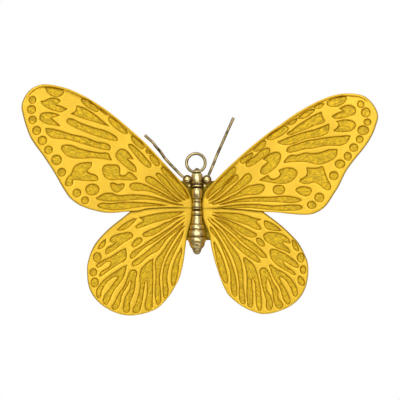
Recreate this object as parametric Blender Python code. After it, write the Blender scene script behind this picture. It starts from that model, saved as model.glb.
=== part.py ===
"""Wall butterfly: two low-relief cast wings, a turned body, two wire antennae,
a wire hanging ring and a back plate. Metres, +Z up, the front faces -Y.

Wing outlines are pairs (out, up) in millimetres: out is the distance from the
body's centre line towards that wing's tip, up is the height above the waist.
They give the shape as it stands in the picture plane."""
import math

import bmesh
import bpy
from mathutils import Vector
from mathutils.geometry import delaunay_2d_cdt

MM = 0.001

# Hanging ring, with a shank that runs down behind the head
RING_CENTRE = (-0.55, 23.06)     # across, up
RING_RADIUS = 4.68               # to the wire's centre
WIRE_R = 0.76
RING_DEPTH = 1.1                 # behind the wing roots' front face
SHANK_END = 10.8
ORIGIN = (RING_CENTRE[0], RING_DEPTH, RING_CENTRE[1] + RING_RADIUS - WIRE_R)

# Wings
TILT = math.radians(12)          # tips stand forward of the roots
PLATE = 2.2                      # thickness of the hind wing
STEP = 0.9                       # how far the forewing stands in front of the hind wing
STEP_RUN = (2.3, 26.0)           # the step grows from the root to this distance out
RECESS = 0.8                     # depth of the cells
DOT_SIDES = 12
THIN = 0.156                     # outline points nearer than this to the line are dropped
VIEW_DISTANCE = 1200.0           # from which the outlines were read
VIEW_CENTRE = (1.5, 4.5)

# Back plate: a bent strip whose leaves lie behind the wings
STRIP_HALF = 12.5
STRIP_Z = (-15.6, 14.1)
STRIP_GAP = 0.3                  # to the wings
STRIP_THICK = 1.5
STRIP_FLAT = (2.1, 3.5)          # half widths of the flat middle, front and back

# Body
BODY_Y = -3.0                    # the body's axis stands in front of the wing roots
PEGS = [(7.6, 1.2), (-11.8, 1.6)]    # height, radius of the pegs that reach back to the plate
BODY_SIDES = 14
BODY_PROFILE = [                 # radius, height: crest, head, collar, thorax, waist, abdomen
    (0.0, 20.45), (0.9, 20.1), (1.65, 19.45), (2.4, 18.75), (2.4, 18.4), (1.8, 18.15),
    (2.4, 17.75), (2.75, 17.1), (2.85, 15.8), (2.8, 14.0), (2.6, 12.9), (2.2, 12.35), (2.55, 12.05), (2.7, 11.6), (2.45, 11.15), (1.95, 10.95), (2.3, 10.3),
    (2.6, 9.0), (2.65, 8.0), (2.5, 6.8), (2.15, 5.7), (1.75, 5.15), (1.75, 4.95),
    (1.95, 4.6), (1.95, 3.85), (1.7, 3.5), (1.95, 3.2), (2.2, 2.4), (2.2, 1.4), (1.95, 0.65),
    (2.2, 0.5), (2.2, 0.1), (1.7, -0.1), (1.7, -0.75), (2.1, -0.95), (2.4, -1.6), (2.35, -2.4),
    (1.95, -2.95), (1.95, -3.1), (2.15, -3.4), (2.45, -5.4), (2.65, -7.2), (2.5, -7.6),
    (3.1, -7.9), (3.4, -8.5), (3.45, -9.5), (3.15, -10.3), (3.75, -10.8),
    (4.0, -11.7), (4.0, -12.9), (3.65, -13.8), (4.2, -14.3), (4.5, -15.1),
    (4.4, -16.0), (3.8, -16.85), (3.85, -17.5), (3.5, -18.4), (2.7, -19.5),
    (2.35, -20.0), (2.1, -20.7), (1.7, -21.7), (1.1, -22.35), (0.0, -22.65)]
EYES = [(-4.85, 14.8, 2.25), (4.95, 14.7, 2.3)]    # across, up, radius
LOBES = [(-3.9, 11.6, 0.95), (3.9, 11.6, 0.95)]

# Antennae: across, up
ANTENNA_R = 0.72
ANTENNA_Y = (-3.4, -5.8)         # root and tip
ANTENNA_LEFT = [(-7.05, 16.12), (-8.4, 17.3), (-10.5, 19.5), (-12.7, 21.7), (-14.8, 24.0),
                (-15.9, 25.2), (-17.4, 27.4), (-19.1, 29.6), (-20.4, 31.0), (-21.8, 33.0),
                (-23.8, 34.8), (-26.0, 36.8)]
ANTENNA_RIGHT = [(5.9, 17.15), (8.0, 22.0), (10.1, 27.2), (12.2, 32.0), (14.6, 37.4), (18.2, 45.5)]

LEFT = {
    "root": (2.2, 0.6),
    "notch": (33.2, -1.4),
    "crease": [(31, -1.3), (28, -.6), (25, 0), (20, .4), (12, .6), (6, .7)],
    "fore_edge": [
        (2.3, 4), (2.7, 5.6), (3.2, 7), (4.1, 8.9), (5.4, 10.4), (7, 12.1), (8.7, 14.1), (11.4, 17.2),
        (13.1, 19.3), (15, 21.2), (18, 24.6), (21.2, 28.1), (25, 32.1), (28, 35.2), (31, 37.9), (38.5, 44),
        (42, 46.9), (46, 50.15), (50, 52.9), (54, 55.3), (58, 57.4), (62, 59.1), (66, 60.7), (70, 61.7),
        (74, 62.3), (77, 62.4), (80, 61.6), (82, 60.6), (84, 58.9), (85.3, 57.2), (86.5, 54.9), (87.3, 52.7),
        (87.5, 50.9), (87, 48.1), (86, 44), (84.7, 40), (83.1, 36), (80.6, 32), (77.6, 28), (74.8, 24),
        (72.2, 20), (69.8, 16), (67.4, 12), (65.1, 8), (63.7, 6), (61.5, 4), (58.6, 2), (56, .8), (53.6, .05),
        (50, -1), (47.2, -1.65), (42.9, -2), (40, -1.8), (37.6, -1.65), (35, -1.35)],
    "hind_edge": [
        (2.5, -2.3), (2.7, -4.4), (3, -6.5), (3.6, -8.2), (4, -9.9), (4.6, -13.4), (5.2, -16.5), (5.9, -20.6),
        (6.65, -25.3), (7.4, -30), (8.5, -34), (10, -37.2), (12, -40.8), (14, -43.8), (16, -46.2), (18, -48.2),
        (20, -49.8), (22, -50.8), (26, -52), (30, -53), (34, -53.3), (38, -52.7), (42, -51.3), (46, -49),
        (49, -46.6), (51, -44.3), (53, -41), (54.2, -37), (54.6, -32), (54.5, -28), (53.8, -25), (52.9, -22),
        (51.2, -18.4), (48.9, -15.2), (46, -12.05), (43, -9.6), (40, -6.95), (36.2, -3.7)],
    "fore_dots": [
        (82.3, 54.5, 1.9, 1.9), (82.8, 49.7, 2.2, 2.2), (82.25, 44.5, 2.05, 2.05), (80.2, 39.2, 2.2, 2.2),
        (77.35, 34.2, 2.3, 2.3), (74.3, 29.5, 2.1, 2.1), (70.3, 24.5, 2.6, 2.6), (67.7, 18.35, 2.1, 2.1),
        (60.1, 8, 2.1, 2.1), (56.05, 4.3, 1.9, 1.9), (52.4, 9.7, 3.5, 2.9)],
    "hind_dots": [(49.8, -24.2, 2.1, 2.45), (51.8, -31.7, 1.9, 2.0), (51.1, -36.8, 2.0, 2.4)],
    "fore_cells": [
        [(43.5, 12.9), (42.3, 13.2), (40.8, 12.6), (39.3, 12.3), (37.6, 12.8), (36.4, 12.6), (36.4, 11.2),
         (37.2, 9.9), (38.6, 8.8), (40.1, 8.2), (41.7, 8.9), (43, 10.5)],
        [(76.2, 60.9), (75.2, 59), (74.4, 57.7), (73.2, 56.8), (71.7, 56.2), (70.2, 56.05), (68.7, 56.2),
         (67.5, 56.9), (66.6, 58), (66.4, 59.5), (68.5, 60.2), (71, 60.7), (73.5, 61)],
        [(78.1, 53.8), (76.4, 54.1), (75, 54.6), (73.6, 55.4), (72.1, 55.6), (70.5, 55.5), (69.1, 54.8),
         (68.2, 53.6), (69.5, 52.9), (70.4, 52.3), (68.9, 51.7), (67.3, 51.1), (66, 50.5), (64.7, 49.9),
         (66, 49.2), (67.3, 48.6), (68.7, 48.4), (70.3, 48.8), (72.1, 49.4), (74.1, 50.1), (75.6, 50.9),
         (76.9, 51.8), (77.7, 52.8)],
        [(78.8, 45.7), (78.3, 47.2), (77.2, 48.1), (75.5, 48.3), (72.8, 48.2), (71, 47.7), (69.5, 47.2),
         (68.5, 46.8), (70.2, 46.3), (71, 45.9), (72.8, 45.4), (71.8, 44.6), (70.4, 43.4), (69, 42.1),
         (68.1, 41.2), (70, 41.8), (72.3, 42.3), (74.1, 42.9), (76, 43.5), (77.8, 43.9), (78.6, 44.6)],
        [(60.3, 51.6), (59, 51.4), (57, 50.8), (54.5, 49.5), (52.6, 48.2), (50, 46.1), (48, 44.6), (46, 43),
         (43.8, 41.2), (46, 42), (48, 42.5), (50, 43.2), (53, 44), (56, 44.9), (58.5, 45.7), (61, 46.8),
         (63.1, 47.5), (61.9, 48.3), (60.9, 49), (60.4, 50.2)],
        [(65.4, 43.9), (65, 44.8), (64.1, 45.3), (62.8, 45.2), (61, 44.3), (59, 43.4), (56, 42.5), (53, 41.4),
         (50.5, 40.4), (47, 39.5), (44.5, 38.3), (42, 37.2), (40.6, 36.2), (39.8, 35.2), (39.7, 34.1),
         (41.5, 34.1), (44, 34.6), (46.5, 35.3), (49, 36.2), (52, 37), (55, 38.4), (58, 39.7), (61, 40.8),
         (63, 41.8), (64.8, 42.9)],
        [(75.8, 40.3), (74.2, 40.3), (70.3, 39.6), (67.3, 38.8), (65, 38.1), (62.5, 37.3), (60, 36.8),
         (56, 35.9), (53, 34.8), (50, 33.6), (47, 32.9), (44.8, 32.5), (43.6, 31.6), (43.3, 30.3),
         (43.6, 29.2), (45.1, 29.4), (47.5, 30), (50, 30.7), (55, 32.2), (60, 33.4), (65, 34.8), (70, 35.9),
         (72.5, 36.1), (74, 36.5), (75, 37.5), (75.6, 38.8)],
        [(68.1, 30.3), (67.6, 31.5), (66, 32.1), (64, 32.1), (61, 31.1), (58.5, 30.2), (55.5, 29.5), (52, 28.7),
         (48, 28.1), (45, 28), (44.2, 27.5), (43.4, 25.7), (42.5, 24.2), (45, 24.5), (48, 25.1), (51, 25.4),
         (55, 25.4), (59, 25.2), (62, 25.5), (64.5, 26.3), (66, 27.5), (67.3, 28.9)],
        [(66, 12.2), (65.8, 13.7), (65.3, 15.1), (64.4, 16.2), (63.1, 17.5), (62.4, 19), (61.9, 20.4),
         (61, 21.7), (59.6, 22.5), (57.5, 23), (55, 23.3), (52.6, 23.3), (52.7, 21.8), (53.7, 20.4),
         (55, 18.9), (53.6, 17.9), (51.9, 17.2), (50.5, 16.8), (49.8, 16), (49.5, 14.8), (50, 14),
         (52.5, 13.9), (56, 14.1), (59, 14.5), (61.5, 14.6), (62.2, 13.9), (62.1, 12.7), (62.9, 11.7),
         (64.3, 11.3), (65.5, 11.6)],
        [(47.4, 19.5), (47.1, 21.2), (46.3, 21.8), (44.5, 22), (42.5, 22.2), (40.8, 22.1), (39.5, 21.7),
         (38.8, 20.7), (38.7, 19), (38.5, 17.2), (37.4, 16.7), (36.2, 16.9), (35.3, 17.5), (34.5, 18.6),
         (33.4, 18.3), (32, 17.1), (30.6, 15.9), (29.8, 14.7), (32, 14.4), (35, 14.5), (38, 14.6),
         (41, 14.8), (43.5, 15), (45.2, 15.2), (46.2, 16), (46.9, 17.3)],
        [(40.8, 26.8), (40.4, 28.1), (39.5, 29.3), (38.5, 30), (37.3, 30.1), (36, 29.6), (34.8, 28.4),
         (33.8, 27.2), (32.8, 26), (31.7, 24.8), (34.6, 25.2), (34, 24.3), (32.4, 23), (31.2, 21.7),
         (30.4, 20), (30.4, 18.3), (31.6, 18.6), (33.2, 19.8), (35, 21.1), (37, 22.5), (39, 24), (40.2, 25.2)],
        [(58.2, 54.6), (57.3, 55.3), (56, 55.2), (54, 54.1), (52, 52.8), (50.4, 51.3), (49.4, 49.8),
         (49.4, 48.8), (50.1, 48.5), (52, 49.2), (53.6, 50), (55, 50.9), (56.2, 51.9), (57.3, 53.2), (58, 54)],
        [(48.8, 50.3), (46.5, 48.8), (44.8, 47.2), (45.4, 46.8), (47.2, 48), (48.8, 49.3)],
        [(44.5, 45.2), (43.9, 46.1), (43, 46.1), (41.5, 45.2), (40, 43.8), (38, 41.9), (36, 39.8), (34.7, 38.4),
         (34.8, 37.5), (36.2, 37.6), (38, 38.5), (40, 39.7), (41.6, 41), (42.8, 42.2), (43.9, 43.6)],
        [(33.1, 36.2), (32.2, 36.8), (31, 36), (29.5, 34.6), (28, 33.3), (26.6, 31.9), (26.2, 31), (26.8, 30.1),
         (27.7, 29.9), (29, 30.6), (30.5, 31.8), (32, 33.4), (32.8, 34.8)],
        [(34.5, 32.3), (33.2, 32.5), (31.5, 31.5), (30, 30.2), (28.3, 28.4), (26.8, 27), (25.3, 25.2),
         (24, 23.4), (22.9, 21.8), (23, 20.8), (24.5, 20.6), (25.8, 21.4), (27.5, 23.2), (29.2, 25.1),
         (31, 27.1), (32.5, 28.8), (33.6, 30.4), (34.4, 31.6)],
        [(25.9, 29), (25.2, 29.9), (24.3, 29.4), (22.9, 28.4), (22.6, 27.7), (24, 27.5), (25.4, 27.9)],
        [(24, 26.2), (23.3, 27), (22.2, 27.2), (20.8, 25.8), (19.4, 24.1), (18.7, 22.6), (18.9, 21.5),
         (20, 21.3), (21.3, 22.1), (22.6, 23.8), (23.6, 25.2)],
        [(18.1, 20.2), (17.3, 21.1), (16.3, 21.1), (15, 20.2), (13, 18), (11.2, 15.9), (9.5, 13.9), (8, 12),
         (6.5, 9.9), (5, 7.6), (4, 5.9), (4, 5), (5.2, 5.3), (7, 6.7), (9, 8.9), (11, 11), (12.8, 13.1),
         (14.5, 15.3), (16.4, 17.5), (17.6, 19)],
        [(20.8, 17.2), (20.3, 18), (19.2, 18.1), (17.8, 17.2), (16, 15.3), (14, 13), (12, 10.9), (10, 8.8),
         (8, 6.8), (6.4, 5.3), (5.2, 4.4), (6.4, 4.3), (8, 5.1), (10, 6.7), (12, 8.6), (14, 10.5), (16, 12.4),
         (18, 14.2), (19.6, 15.6)],
        [(25.9, 14.9), (25.5, 16), (24.6, 16.4), (23.4, 16.4), (22, 15.7), (20, 14.2), (18, 12.6), (16, 11),
         (14, 9.3), (12, 7.4), (10, 5.6), (8, 4.3), (7, 3.5), (8.5, 3.7), (10, 4.5), (12, 5.7), (14, 6.9),
         (16, 8.1), (18, 9.4), (20, 10.5), (22, 11.6), (24.2, 12.7), (25.6, 13.7)],
        [(33.9, 11.4), (33.3, 12.5), (32, 13.1), (30, 13.2), (28, 12.8), (26, 12.1), (24, 11.2), (22, 10.3),
         (20, 9.3), (18, 8.1), (16, 7.1), (14, 6), (12, 4.9), (10, 3.9), (8.5, 3.2), (10, 3.2), (12, 3.9),
         (14, 4.7), (16, 5.6), (18, 6.5), (20, 7.3), (22, 8), (24, 8.7), (26, 9.1), (28, 9.1), (30, 9.1),
         (32, 9.4), (33.3, 10.2)],
        [(50.7, 5.3), (49.3, 6.3), (47.6, 7.3), (46.2, 7.9), (44.5, 8.1), (42.8, 8), (41.3, 7.4), (39.5, 6.9),
         (37, 6.9), (34, 7.2), (30, 7.2), (27, 7), (24, 6.5), (21, 5.8), (18, 5.1), (15, 4.1), (12, 3.2),
         (9, 2.5), (6.8, 2.1), (6.6, 1.7), (9, 1.8), (12, 2.3), (15, 2.9), (18, 3.7), (21, 4.3), (25, 4.7),
         (30, 4.6), (35, 4.5), (40, 4.4), (45, 4.3), (48, 4.3), (50, 4.8)],
        [(50, 1.6), (49.4, 2.4), (48.4, 2.9), (46.5, 3), (43.5, 2.9), (40, 3.2), (37, 3.6), (33, 3.6),
         (29, 3.4), (25, 3.1), (21, 2.8), (18, 2.3), (14.4, 1.8), (17, 1.5), (20, 1.5), (23, 1.4), (26, 1.1),
         (29, .9), (32, .5), (35, .1), (38, -.4), (41, -.6), (44, -.3), (46.5, .1), (48.3, .6), (49.4, 1)]],
    "hind_cells": [
        [(6, -1.2), (9, -1.3), (12, -1.4), (15, -1.5), (18, -1.9), (21, -2.4), (24, -3), (26.5, -3.7),
         (28.9, -4.3), (27.6, -5), (26.7, -5.7), (27.4, -6.4), (28.8, -7.2), (30.2, -8.2), (30.7, -9.2),
         (30.2, -9.8), (28, -9.3), (26, -8.4), (23, -7.4), (20, -6.6), (17, -5.8), (14, -4.9), (11, -3.7),
         (8, -2.5)],
        [(29.9, -5), (30.9, -4.7), (32.3, -5.1), (34, -5.9), (36, -7), (37.6, -8.2), (38.9, -9.3),
         (40.1, -10.5), (38.8, -10.8), (37, -10.4), (35.2, -9.9), (33.8, -8.8), (32.4, -7.7), (31, -6.4)],
        [(31.9, -13.4), (32.3, -12.3), (33.2, -11.7), (34.5, -11.8), (37, -12), (39.5, -12.5), (41.5, -13.2),
         (42.9, -14.3), (43.6, -15.5), (43.3, -16.5), (42.4, -16.8), (40.6, -16.6), (42, -17.7), (44, -19.1),
         (45.5, -20.3), (45.7, -21.7), (45.4, -22.8), (44, -22.2), (42, -20.8), (39.5, -18.9), (37, -17.2),
         (34.8, -15.8), (33, -15), (32.1, -14.4)],
        [(32.7, -18.2), (32.1, -16.8), (31.1, -15.5), (29.9, -14.6), (28.4, -14.3), (27.5, -14.8),
         (27.1, -15.8), (27.8, -17), (29.2, -18), (30.6, -18.9), (32, -19.2)],
        [(45.6, -15), (45.6, -17.2), (46.1, -18.5), (47.2, -19.5), (48.6, -20.1), (49.6, -19.9),
         (49.1, -18.6), (48, -17.1), (46.9, -15.9)],
        [(35.6, -19.6), (35.2, -22), (35.2, -24.3), (35.9, -25.9), (38, -27), (40, -28.4), (42, -29.7),
         (44, -31.1), (46, -32.5), (48.3, -34), (48.8, -33.2), (48.3, -32), (47, -30.9), (45, -29.3),
         (43.4, -28.2), (42.9, -27), (43.4, -26.3), (44.6, -26.4), (46, -27.5), (48, -28.8), (49.6, -29.4),
         (50.4, -28.6), (50.0, -27.6), (48.5, -26.5), (46, -25.1), (43, -23.7), (40, -21.9), (37.8, -20.5)],
        [(34.9, -28.2), (35.3, -30), (35.8, -32), (36.5, -34), (38, -36.4), (40, -39.1), (41.8, -41.6),
         (43.2, -44.4), (44.1, -46.7), (45, -48), (46.2, -47.5), (47, -46.2), (46.9, -45), (45.5, -42.8),
         (43.5, -39.6), (41.5, -36.8), (39.3, -33.9), (41, -34), (43, -35.1), (45, -36.8), (46.8, -39.6),
         (47.8, -42.6), (48, -43.9), (48.7, -44.8), (49.7, -44.3), (50.3, -42.6), (50.1, -40.4),
         (48.8, -38.1), (46.8, -35.8), (44.3, -33.7), (41.5, -31.8), (38.5, -29.8), (36.5, -28.6)],
        [(33.3, -30.8), (32.2, -30.4), (31, -30.4), (30.1, -31.2), (29.9, -33), (30.5, -35), (30.7, -37.5),
         (31, -40), (31.7, -42.8), (32.7, -45.2), (33.4, -47), (33.5, -50.6), (34, -51.6), (35, -51.9),
         (36.2, -51.5), (37, -50.4), (36.9, -48.6), (36.4, -46), (35.9, -44), (34.6, -42), (33.6, -40),
         (33.1, -37.9), (32.8, -36), (33.6, -36.2), (34.4, -38), (36, -40.6), (37.3, -43), (38.1, -45.6),
         (38.5, -47.6), (39.6, -49.8), (40.6, -50.6), (41.6, -50.4), (42.6, -49.5), (42.7, -48.6),
         (41.5, -47), (40.2, -44.2), (38.6, -41.5), (36.9, -39.2), (35.6, -36.4), (34.8, -33.9),
         (34.1, -32.2)],
        [(21.8, -24.9), (22.9, -25.4), (24, -26.3), (25.4, -27.2), (26.8, -28.6), (27.9, -30.2), (28.5, -32),
         (28.6, -35), (28.5, -38.5), (29.2, -42), (30, -45.3), (31, -48), (32, -49.6), (32.2, -50.7),
         (31.8, -51.7), (30.7, -52.1), (29.5, -51.9), (28.6, -51.2), (28, -49.2), (27.3, -46), (26.6, -42),
         (26.1, -38.5), (25.7, -36), (25.1, -36), (24.9, -39), (25.1, -43), (25.5, -47), (25.9, -49.8),
         (25.5, -50.7), (24.6, -50.9), (23.3, -50.6), (22.5, -49.8), (22.2, -46), (22.1, -40), (22, -34),
         (21.9, -29)],
        [(6.1, -3.2), (8, -3.75), (9.7, -4.4), (11.3, -4.85), (12.7, -5.4), (13.5, -6.1), (15.8, -6.7),
         (17.5, -7.7), (18.5, -8.3), (20, -8.9), (22.5, -10), (25, -11), (26.7, -12), (27.2, -13),
         (26.8, -13.7), (25.6, -13.95), (23.5, -13.7), (21.2, -12.85), (19.9, -12.1), (18.7, -11.4),
         (17.6, -10.5), (16.3, -9.8), (15, -8.85), (13.9, -8.2), (12.7, -7.3), (11.7, -6.7), (10.3, -5.6),
         (8.8, -4.8), (7.4, -3.9)],
        [(6.1, -4.2), (7, -4.8), (8.4, -5.8), (10, -6.6), (11.4, -7.8), (12.4, -8.4), (13.6, -9.3),
         (14.7, -9.9), (16, -10.9), (17.3, -11.6), (18.4, -12.5), (19.6, -13.2), (21.5, -14.3),
         (23.6, -15.6), (25.3, -16.8), (27, -18), (28.5, -19.1), (30, -19.9), (31.4, -20.8), (32.6, -21.9),
         (33.3, -23.2), (33.4, -24.4), (32.9, -25), (31.9, -24.6), (30.2, -23.2), (29, -22.1),
         (27.9, -20.95), (26.2, -19.7), (24.9, -18.7), (23.6, -17.9), (22, -17.1), (20.7, -16.1),
         (19.1, -14.9), (17.8, -13.8), (16.3, -12.7), (14.8, -11.6), (13.6, -10.6), (12.2, -9.7),
         (10.9, -8.65), (9.3, -7.35), (8.1, -6.3), (6.8, -5.2), (6, -4.6)],
        [(6.3, -6.3), (7.6, -7.2), (8.7, -8.2), (10.3, -9.4), (11.6, -10.5), (13, -11.4), (14.2, -12.4),
         (15.7, -13.6), (17.2, -14.7), (18.5, -15.8), (20.1, -17), (21.1, -17.9), (22.3, -19), (23.9, -20.2),
         (25.2, -21.1), (26.8, -22.5), (28.1, -23.6), (29.6, -24.7), (30.8, -25.4), (31.7, -26.1),
         (32.5, -27.25), (32.4, -28.3), (31.8, -28.8), (31, -28.7), (29.9, -28.2), (28.5, -27.1),
         (27, -25.9), (25.2, -24.5), (23.2, -23), (21.6, -22), (20.1, -21.4), (18.7, -19.9), (17.2, -17.9),
         (15.9, -16.3), (14.6, -14.7), (12.9, -12.9), (11.2, -11.3), (9.5, -9.9), (7.8, -8.3), (6.5, -7)],
        [(6.2, -8.3), (7.6, -9.3), (9.1, -10.9), (10.3, -12.1), (11.7, -13.7), (12.9, -15.1), (13.9, -16.3),
         (14.5, -17.3), (15.3, -18.3), (16.3, -19.6), (17.3, -21.1), (18.3, -22.5), (19.3, -23.5),
         (20, -24.6), (20.8, -26.1), (21, -28.2), (20.7, -30.4), (20.7, -32.3), (20.6, -34.4),
         (20.6, -39.2), (20.4, -42), (20.4, -46.4), (20, -47.6), (19.4, -48), (18.6, -47.6), (18, -46.6),
         (17.9, -44), (18.1, -40), (18.3, -36), (18.4, -33), (18, -31), (17.4, -28.5), (16.6, -25.8),
         (15.5, -23.6), (14.2, -21.5), (13.2, -19.3), (11.9, -16.8), (10.8, -14.9), (9.7, -13.4),
         (8.5, -11.7), (7.2, -10), (6.2, -9)],
        [(6.4, -10.4), (7.5, -12), (8.7, -13.8), (9.5, -15.2), (10.1, -16), (10.6, -17.1), (11.2, -18.3),
         (11.8, -19.5), (12.6, -21), (13.4, -22.7), (14.1, -23.8), (15, -25.9), (15.8, -27.2), (16.5, -28.8),
         (16.9, -30.9), (17.1, -32.8), (17.1, -38), (16.9, -42.5), (16.4, -44.4), (15.8, -44.8),
         (15, -44.2), (14.5, -43), (14.6, -39), (14.8, -34), (14.3, -31), (13.5, -27.5), (12.5, -25),
         (11.5, -22.8), (10.5, -20.8), (9.6, -19), (8.6, -16.9), (7.6, -14.4), (6.8, -12.4)],
        [(7.6, -18.9), (8.1, -19.6), (9.2, -21.9), (10.1, -23.6), (10.9, -25.1), (11.6, -27.1),
         (12.3, -29.6), (12.6, -31.8), (12.9, -34.4), (12.9, -36.6), (12.6, -38), (12, -38.7),
         (11.2, -38.2), (10.5, -36.6), (9.9, -34), (9.2, -31), (8.9, -27.5), (8.3, -25), (7.8, -23),
         (7.4, -21)]],
}

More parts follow.
